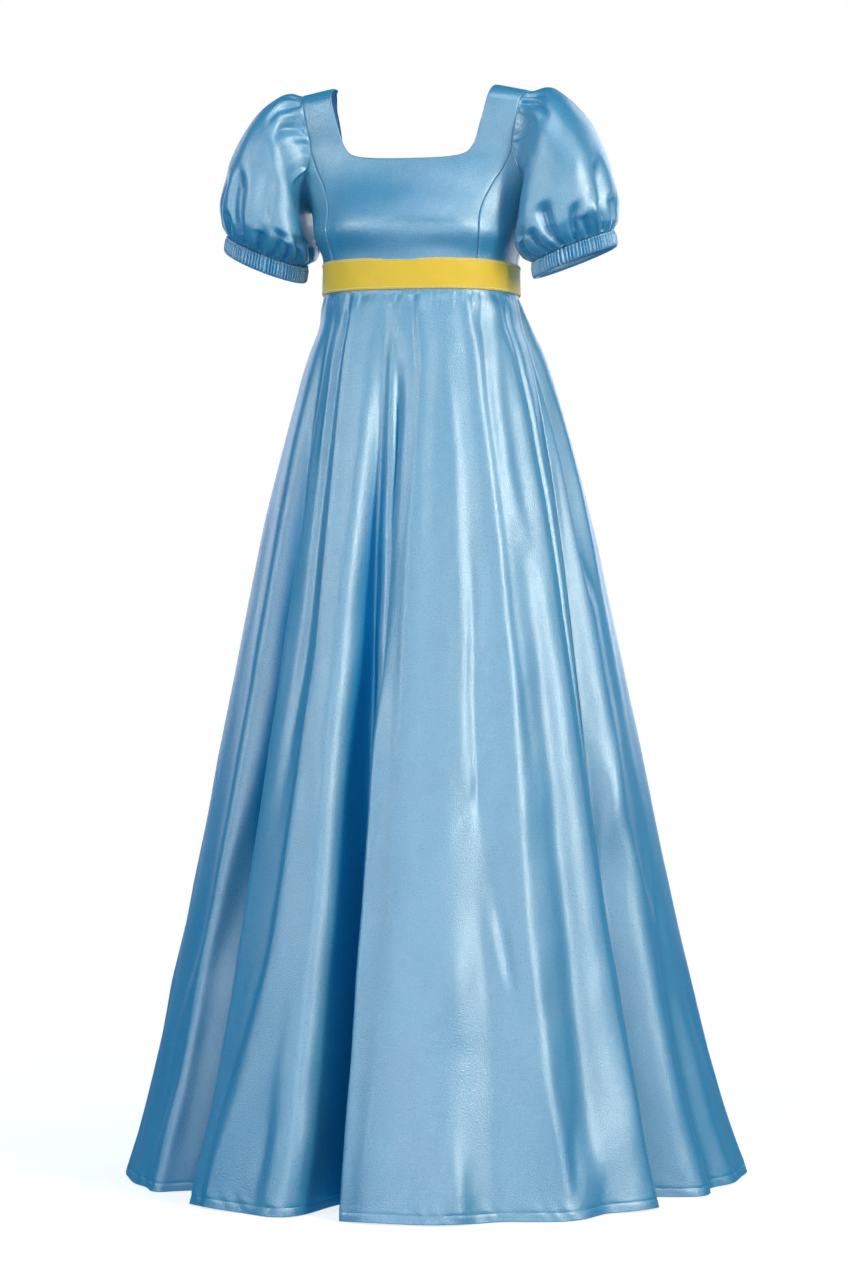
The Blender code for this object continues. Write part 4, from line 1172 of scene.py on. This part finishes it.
def piece_of(name, mesh):
    """A piece of the gown from a mesh. It rides on the gown's one body."""
    made = bpy.data.objects.new(name, mesh)
    bpy.context.scene.collection.objects.link(made)
    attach(made, "root")
    return made


def normals_of(points, faces):
    """Unit normals at the points of a mesh of four-sided faces."""
    a, b, c, d = (points[faces[:, k]] for k in range(4))
    face = np.cross(c - a, d - b)
    total = np.zeros_like(points)
    for k in range(4):
        np.add.at(total, faces[:, k], face)
    return total / np.maximum(np.linalg.norm(total, axis=-1, keepdims=True), 1e-12)


def cloth(name, sheets, materials, node, wall=SHELL):
    """One piece of cloth from sheets that share their edges."""
    points, press, flat, faces = [], [], [], []
    start = 0
    for one in sheets:
        rows, columns = one.points.shape[:2]
        points.append(leaned(one.points).reshape(-1, 3))
        press.append(one.press.reshape(-1))
        flat.append(one.flat.reshape(-1, 2))
        index = start + np.arange(rows * columns).reshape(rows, columns)
        corners = [index[:-1, :-1], index[:-1, 1:], index[1:, 1:], index[1:, :-1]]
        faces.append(np.stack(corners, -1).reshape(-1, 4))
        start += rows * columns
    points, press, flat, faces = (np.concatenate(part) for part in (points, press, flat, faces))
    key = np.round(points / 2e-6).astype(np.int64)
    first, place = np.unique(key, axis=0, return_index=True, return_inverse=True)[1:]
    place = place.reshape(-1)
    depth = np.full(len(first), -1.0)
    np.maximum.at(depth, place, press)
    whole = points[first]
    joined = place[faces]
    whole = whole - normals_of(whole, joined) * depth[:, None]
    mesh = bpy.data.meshes.new(name)
    mesh.from_pydata(whole.tolist(), [], joined.tolist())
    mesh.uv_layers.new(name="Flat").data.foreach_set("uv", flat[faces].reshape(-1).astype(np.float32))
    mesh.shade_smooth()
    for material in materials:
        mesh.materials.append(material)
    made = piece_of(name, mesh)
    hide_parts(node)
    if wall:
        solidify = made.modifiers.new("Wall", "SOLIDIFY")
        solidify.thickness = wall
        solidify.offset = -1.0
        if len(materials) > 1:
            solidify.material_offset = 1
    return made


# ---- materials ----

MULTIPLY = {"data_type": "RGBA", "blend_type": "MULTIPLY"}
PAINTED_SHADE_REACH = 0.045  # reach of the ambient-occlusion test that paints shade into the folds
PAINTED_SHADE_FULL, PAINTED_SHADE_NONE = 0.40, 0.86  # ambient-occlusion openness at which the painted fold shade is full, and at which it ends
PAINTED_SHADE_SPECULAR_TINT = (0.05, 0.42, 0.74, 1.0)  # specular tint in the painted fold shade
WHITE = (1.0, 1.0, 1.0, 1.0)


def new_material(name):
    """A material with its node tree and its shader."""
    material = bpy.data.materials.new(name)
    material.use_nodes = True
    return material, material.node_tree, material.node_tree.nodes["Principled BSDF"]


def wire(tree, node, **inputs):
    """Inputs of a node by name: a socket is linked to the input, and any other value is set in it."""
    for name, value in inputs.items():
        socket = node.inputs[name.replace("_", " ")]
        if isinstance(value, bpy.types.NodeSocket):
            tree.links.new(value, socket)
        else:
            socket.default_value = value


def add(tree, kind, settings=None, **inputs):
    """A node with its settings and its inputs."""
    made = tree.nodes.new(kind)
    for name, value in (settings or {}).items():
        setattr(made, name, value)
    wire(tree, made, **inputs)
    return made


def on_cloth(tree, wide, long):
    """Places on the flat cloth, scaled across and along it."""
    place = add(tree, "ShaderNodeTexCoord").outputs["UV"]
    return add(tree, "ShaderNodeMapping", Vector=place, Scale=(wide, long, 1.0)).outputs[0]


def noise(tree, wide, long, detail=2.0, roughness=0.5):
    """A soft random value over the cloth, so many times a metre across and along it."""
    vector = on_cloth(tree, wide, long)
    made = add(tree, "ShaderNodeTexNoise", Vector=vector, Scale=1.0, Detail=detail, Roughness=roughness)
    return made.outputs["Fac"]


def bands(tree, direction, along, **inputs):
    """The threads of a weave, as a wave over the cloth."""
    settings = {"wave_type": "BANDS", "bands_direction": direction}
    vector = on_cloth(tree, 1.0, along)
    return add(tree, "ShaderNodeTexWave", settings, Vector=vector, **inputs).outputs["Fac"]


def between(tree, value, least, most, low=0.3, high=0.7):
    """A value that goes from least to most as another goes from low to high."""
    limits = {"From_Min": low, "From_Max": high, "To_Min": least, "To_Max": most}
    return add(tree, "ShaderNodeMapRange", Value=value, **limits).outputs["Result"]


def tinted(tree, value, dark, light, low=0.3, high=0.7):
    """A colour between two, by a value."""
    ramp = add(tree, "ShaderNodeValToRGB", Fac=value)
    first, second = ramp.color_ramp.elements
    first.position, second.position = low, high
    first.color, second.color = dark, light
    return ramp.outputs["Color"]


def multiplied(tree, colour, factor, by):
    """A colour multiplied by another as far as the factor says."""
    return add(tree, "ShaderNodeMix", MULTIPLY, Factor=factor, A=colour, B=by).outputs["Result"]


def bump(tree, height, strength, distance, **under):
    """A normal raised by a height, over the normal beneath it where there is one."""
    made = add(tree, "ShaderNodeBump", Height=height, Strength=strength, Distance=distance, **under)
    return made.outputs["Normal"]


def shade(colour, by):
    """A colour made lighter or darker."""
    return tuple(min(1.0, c * by) for c in colour[:3]) + (1.0,)


def satin(name, colour, metallic, roughness, sheen):
    """Satin: long smooth floats one way, with slubs, slack and a soft bright sheen.

    Painted shade: where the piece's own cloth is close by, in folds, ambient occlusion paints the colour a
    deeper blue and cuts down the specular tint and the coat.
    """
    material, tree, shader = new_material(name)
    patches = noise(tree, 14, 9, 3.0)
    slubs = noise(tree, 900, 45, 2.0)
    speckle = noise(tree, 520, 560, 2.0, 0.8)
    cloudy = tinted(tree, patches, shade(colour, 0.93), shade(colour, 1.06))
    flecked = multiplied(tree, cloudy, between(tree, speckle, 0.0, 1.0, 0.35, 0.65), (0.79, 0.84, 0.89, 1.0))
    threads = multiplied(tree, flecked, slubs, (0.90, 0.93, 0.95, 1.0))
    # Painted shade: ambient occlusion of the piece's own cloth darkens the colour, the specular and the coat
    # in folds.
    own_cloth = {"samples": 8, "only_local": True}
    ao_for_painted_shade = add(tree, "ShaderNodeAmbientOcclusion", own_cloth, Distance=PAINTED_SHADE_REACH).outputs["AO"]
    painted_shade_mask = between(tree, ao_for_painted_shade, 0.0, 1.0, PAINTED_SHADE_FULL, PAINTED_SHADE_NONE)
    painted_shade_colour = (colour[0] * 0.2, colour[1] * 0.90, colour[2] * 1.08, 1.0)
    painted_shade_mix = add(tree, "ShaderNodeMix", {"data_type": "RGBA"}, Factor=painted_shade_mask, A=painted_shade_colour, B=threads)
    shine = add(tree, "ShaderNodeMath", {"operation": "ADD"})
    spots = between(tree, speckle, roughness - 0.13, roughness + 0.11, 0.38, 0.62)
    tree.links.new(spots, shine.inputs[0])
    tree.links.new(between(tree, noise(tree, 120, 30, 3.0), -0.03, 0.03), shine.inputs[1])
    weave = bands(tree, "DIAGONAL", 0.35, Scale=520.0, Distortion=1.2, Detail=1.0)
    grain = bump(tree, noise(tree, 600, 480, 3.0, 0.6), 0.8, 0.00060)
    floats = bump(tree, slubs, 0.25, 0.00010, Normal=grain)
    surface = bump(tree, weave, 0.12, 0.00005, Normal=floats)
    wire(tree, shader, Base_Color=painted_shade_mix.outputs["Result"], Metallic=metallic, Roughness=shine.outputs[0])
    wire(tree, shader, Normal=surface, Coat_Normal=surface, IOR=2.4, Coat_Roughness=0.50, Coat_IOR=2.05)
    wire(tree, shader, Specular_IOR_Level=0.5, Specular_Tint=tinted(tree, painted_shade_mask, PAINTED_SHADE_SPECULAR_TINT, WHITE))
    wire(tree, shader, Sheen_Weight=sheen, Sheen_Roughness=0.35, Sheen_Tint=(0.75, 0.88, 1.0, 1.0))
    if metallic:
        wire(tree, shader, Coat_Weight=between(tree, painted_shade_mask, 0.35, 1.0))
    return material


def ribbon_cloth(name, colour):
    """A plain close weave with a faint crossways rib and little shine."""
    material, tree, shader = new_material(name)
    patches = tinted(tree, noise(tree, 20, 50, 3.0), shade(colour, 0.97), shade(colour, 1.03))
    weft = noise(tree, 260, 1500, 2.0)
    woven = multiplied(tree, patches, weft, (0.86, 0.84, 0.78, 1.0))
    rib = bands(tree, "X", 1.0, Scale=330.0, Distortion=0.6)
    under = bump(tree, weft, 0.4, 0.00015)
    wire(tree, shader, Base_Color=woven, Roughness=between(tree, weft, 0.50, 0.66))
    wire(tree, shader, Normal=bump(tree, rib, 0.25, 0.0001, Normal=under))
    wire(tree, shader, Sheen_Weight=0.25, Sheen_Roughness=0.5)
    return material


def thread(name, colour):
    """Sewing thread with its twist."""
    material, tree, shader = new_material(name)
    place = add(tree, "ShaderNodeTexCoord").outputs["Object"]
    twist = add(tree, "ShaderNodeTexNoise", Vector=place, Scale=2600.0, Detail=1.0).outputs["Fac"]
    wire(tree, shader, Base_Color=tinted(tree, twist, shade(colour, 0.8), shade(colour, 1.1)))
    wire(tree, shader, Normal=bump(tree, twist, 0.4, 0.0001), Roughness=0.45)
    return material


SATIN_LOOK = (0.004, 0.264, 0.430, 1.0)
REVERSE_LOOK = (0.190, 0.490, 0.730, 1.0)
satin_face = satin("satin_face", SATIN_LOOK, metallic=0.05, roughness=0.38, sheen=0.0)
satin_reverse = satin("satin_reverse", REVERSE_LOOK, metallic=0.0, roughness=0.70, sheen=0.3)
cuff_face = satin("cuff_face", SATIN_LOOK, metallic=0.05, roughness=0.40, sheen=0.0)
ribbon_face = ribbon_cloth("ribbon_face", (0.990, 0.590, 0.026, 1.0))
ribbon_thread = thread("ribbon_thread", (1.0, 0.92, 0.58, 1.0))
satin_thread = thread("satin_thread", shade(SATIN_LOOK, 1.05))


# ---- stitches ----

STITCH_SIDES = 5
STITCH_RISE = 0.00002  # how far the line of stitches lies above the cloth's face

# Rings along a stitch, as shares of its length, of its width upwards and of its width across.
STITCH_ALONG = (-0.5, -0.3, 0.0, 0.3, 0.5)
STITCH_LIFT = (-0.5, 0.35, 0.55, 0.35, -0.5)
STITCH_THICK = (0.45, 0.9, 1.0, 0.9, 0.45)

# Stitches: from one to the next, how long, and how wide the thread is.
Stitching = namedtuple("Stitching", "pitch length width")
RIBBON_STITCHING = Stitching(0.0040, 0.0030, 0.00100)
HEM_STITCHING = Stitching(0.0038, 0.0027, 0.00040)


def stitches(name, line, normals, kind, material):
    """Stitches along a line of points, each a short loop of thread half sunk in the cloth."""
    step = np.linalg.norm(np.diff(line, axis=0), axis=-1)
    run = np.concatenate([[0], np.cumsum(step)])
    count = int(run[-1] // kind.pitch)
    verts, faces = [], []
    ring = np.radians(np.arange(STITCH_SIDES) * 360 / STITCH_SIDES)
    last = len(STITCH_ALONG) - 1
    for k in range(count):
        centre = (k + 0.5) * run[-1] / count
        spots = centre + np.array(STITCH_ALONG) * kind.length
        at = np.stack([np.interp(spots, run, line[:, i]) for i in range(3)], -1)
        up = np.stack([np.interp(spots, run, normals[:, i]) for i in range(3)], -1)
        way = at[-1] - at[0]
        way /= np.linalg.norm(way)
        side = np.cross(up, way)
        lift = np.array(STITCH_LIFT)[:, None] * kind.width
        size = np.array(STITCH_THICK)[:, None, None] * kind.width / 2
        spokes = np.cos(ring)[None, :, None] * side[:, None] + np.sin(ring)[None, :, None] * up[:, None]
        rings = (at + up * lift)[:, None, :] + size * spokes
        start = len(verts)
        verts.extend(rings.reshape(-1, 3).tolist())
        for row in range(last):
            for j in range(STITCH_SIDES):
                a = start + row * STITCH_SIDES + j
                b = start + row * STITCH_SIDES + (j + 1) % STITCH_SIDES
                faces.append((a, a + STITCH_SIDES, b + STITCH_SIDES, b))
        faces.append(tuple(start + j for j in range(STITCH_SIDES)))
        faces.append(tuple(start + last * STITCH_SIDES + j for j in reversed(range(STITCH_SIDES))))
    mesh = bpy.data.meshes.new(name)
    mesh.from_pydata(verts, [], faces)
    mesh.shade_smooth()
    mesh.materials.append(material)
    return piece_of(name, mesh)


def stitched_row(one, row):
    """The line of a sheet's row, and its outward normals, after the cloth has been pressed."""
    form = leaned(one.points)
    normal = np.cross(np.gradient(form, axis=1), np.gradient(form, axis=0))
    normal /= np.linalg.norm(normal, axis=-1, keepdims=True)
    line = form[row] - normal[row] * (one.press[row][:, None] - STITCH_RISE)
    return line, normal[row]


# ---- pieces ----

both = [satin_face, satin_reverse]


def make(name, sheets, materials, wall=SHELL):
    """A piece of cloth in place of its solid."""
    made = cloth(name, sheets, materials, name.replace("_cloth", ""), wall)


make("bodice_front_cloth", bodice_front(), both)
for side, puckers, swells, seed in (
    ("left", LEFT_PUCKERS, LEFT_SWELLS, 31),
    ("right", RIGHT_PUCKERS, RIGHT_SWELLS, 47),
):
    parts = {
        "bodice_side": bodice_side(seed),
        "bodice_back": bodice_back(seed + 1),
        "sleeve": [sleeve(puckers, swells, seed + 2)],
        "cuff": [cuff(seed + 3)],
    }
    if side == "right":
        parts = {part: [other_side(one) for one in sheets] for part, sheets in parts.items()}
    panel, cuff_node = f"bodice_side_{side}", f"cuff_{side}"
    for part, materials, slot, flat, held, rests_on, area, wall in (
        ("bodice_side", both, "satin", (0.09, 0.15), "stretched", ["bodice_front"], None, SHELL),
        ("bodice_back", both, "satin", (0.20, 0.28), "stretched", [panel], 0.03, SHELL),
        ("sleeve", both, "satin", (0.46, 0.24), "gathered", [panel, cuff_node], None, SHELL),
        ("cuff", [cuff_face], "cuff_satin", (0.34, 0.024), "gathered", [f"sleeve_{side}"], None, 0.0),
    ):
        make(f"{part}_{side}_cloth", parts[part], materials, wall)

band = ribbon()
for label, row in (("upper", STITCHED_ROW), ("lower", len(band[0].points) - 1 - STITCHED_ROW)):
    line, up = stitched_row(band[0], row)
    name = f"ribbon_stitching_{label}"
    stitches(name, line, up, RIBBON_STITCHING, ribbon_thread)
make(
    "ribbon_cloth", band, [ribbon_face],
    wall=RIBBON_SHELL,
)

hem_row = int(np.argmin(np.abs(skirt_drops()[::-1] - (GOWN_LENGTH - HEM_STITCH))))
for node, start, end, columns, seed, flat, area in (
    ("skirt_front", -SIDE_SEAM, SIDE_SEAM, 372, 61, (1.15, 1.20), 0.84),
    ("skirt_back_left", SIDE_SEAM, 180.0, 196, 63, (1.05, 1.20), 0.72),
    ("skirt_back_right", -180.0, -SIDE_SEAM, 196, 65, (1.05, 1.20), 0.72),
):
    panel = skirt(start, end, columns, seed)
    line, up = stitched_row(panel[0], hem_row)
    hem = stitches(f"{node}_hem_stitching", line, up, HEM_STITCHING, satin_thread)
    make(f"{node}_cloth", panel, both)


# ---- camera, light and floor ----

AIM = Vector((0.0, 0.02, -0.703))  # the middle of the gown
FRONT_WAIST = Vector((0.0, -0.05, -0.22))
CAMERA_TURN = 16.0  # degrees to the wearer's left
CAMERA_FAR = 4.2

camera_data = bpy.data.cameras.new("camera")
camera_data.lens = 91.6
camera_data.sensor_width = 36.0
camera_data.shift_x = 0.0012
camera = bpy.data.objects.new("camera", camera_data)
bpy.context.scene.collection.objects.link(camera)
way = Vector((np.sin(np.radians(CAMERA_TURN)), -np.cos(np.radians(CAMERA_TURN)), 0.0))
camera.location = AIM + way * CAMERA_FAR
camera.rotation_euler = (-way).to_track_quat("-Z", "Y").to_euler()
bpy.context.scene.camera = camera


def soft_light(name, turn, height, far, wide, tall, power, colour=WHITE[:3], aim=AIM):
    """A softbox at an angle round the gown from the front, a height above its middle, turned to it."""
    data = bpy.data.lights.new(name, "AREA")
    data.shape = "RECTANGLE"
    data.size, data.size_y = wide, tall
    data.energy = power
    data.color = colour
    made = bpy.data.objects.new(name, data)
    bpy.context.scene.collection.objects.link(made)
    angle = np.radians(turn)
    made.location = AIM + Vector((np.sin(angle) * far, -np.cos(angle) * far, height))
    made.rotation_euler = (aim - made.location).to_track_quat("-Z", "Y").to_euler()
    made.visible_camera = False


WARM = (1.0, 0.985, 0.85)
COOL = (0.84, 0.93, 1.0)

# Each light's turn, height, distance, width, length, watts and, where they aren't plain, colour and aim.
soft_light("right_box", 62, 1.5, 3.4, 0.6, 2.5, 78, WARM)
soft_light("left_box", -40, 1.5, 3.4, 0.4, 2.5, 34, WARM)
soft_light("right_side_box", 104, 1.2, 3.2, 0.8, 2.6, 10, WARM)
soft_light("front_box", 14, 0.1, 5.2, 3.4, 3.0, 4, COOL)
soft_light("front_strip", 10, 1.05, 3.4, 1.8, 0.25, 16, WARM, FRONT_WAIST)
soft_light("low_front_box", 6, -0.45, 2.6, 2.2, 0.4, 11, aim=FRONT_WAIST)
soft_light("top_box", 14, 3.2, 1.6, 1.0, 0.6, 19)
soft_light("back_left_box", 166, 1.2, 3.4, 1.0, 2.4, 22)
soft_light("back_box", -166, 0.3, 5.2, 3.4, 3.0, 42)
soft_light("back_right_box", -130, 1.2, 3.4, 0.7, 2.4, 14)

# Seen by the camera the room is white, and it lights the gown a soft blue.
world = bpy.data.worlds.new("studio")
bpy.context.scene.world = world
world.use_nodes = True
room = world.node_tree
surround = room.nodes["Background"]
wire(room, surround, Color=(0.07, 0.48, 1.0, 1.0), Strength=0.40)
plain = add(room, "ShaderNodeBackground", Color=WHITE, Strength=1.0)
seen = add(room, "ShaderNodeLightPath").outputs["Is Camera Ray"]
mixed = add(room, "ShaderNodeMixShader", Fac=seen)
room.links.new(surround.outputs[0], mixed.inputs[1])
room.links.new(plain.outputs[0], mixed.inputs[2])
room.links.new(mixed.outputs[0], room.nodes["World Output"].inputs["Surface"])

# The floor takes the gown's shadow near it and fades to white further out.
HALF = 30.0
floor_mesh = bpy.data.meshes.new("floor")
corners = [(-HALF, -HALF, 0), (HALF, -HALF, 0), (HALF, HALF, 0), (-HALF, HALF, 0)]
floor_mesh.from_pydata(corners, [], [(0, 1, 2, 3)])
floor = bpy.data.objects.new("floor", floor_mesh)
floor.location = (0.0, 0.05, -GOWN_LENGTH - 0.0012)
bpy.context.scene.collection.objects.link(floor)
floor_material, tree, shader = new_material("pale_floor")
wire(tree, shader, Base_Color=(0.97, 0.97, 0.97, 1.0), Roughness=0.9)
wire(tree, shader, Emission_Color=WHITE, Emission_Strength=0.42)
place = add(tree, "ShaderNodeTexCoord").outputs["Object"]
far = add(tree, "ShaderNodeVectorMath", {"operation": "LENGTH"}, Vector=place).outputs["Value"]
glow = add(tree, "ShaderNodeEmission", Strength=1.0)
fading = add(tree, "ShaderNodeMixShader", Fac=between(tree, far, 0.55, 1.0, 0.4, 1.3))
tree.links.new(shader.outputs[0], fading.inputs[1])
tree.links.new(glow.outputs[0], fading.inputs[2])
tree.links.new(fading.outputs[0], tree.nodes["Material Output"].inputs["Surface"])
floor_mesh.materials.append(floor_material)
floor.visible_diffuse = False
floor.visible_glossy = False

bpy.context.scene.view_settings.view_transform = "Standard"
bpy.context.scene.view_settings.look = "None"
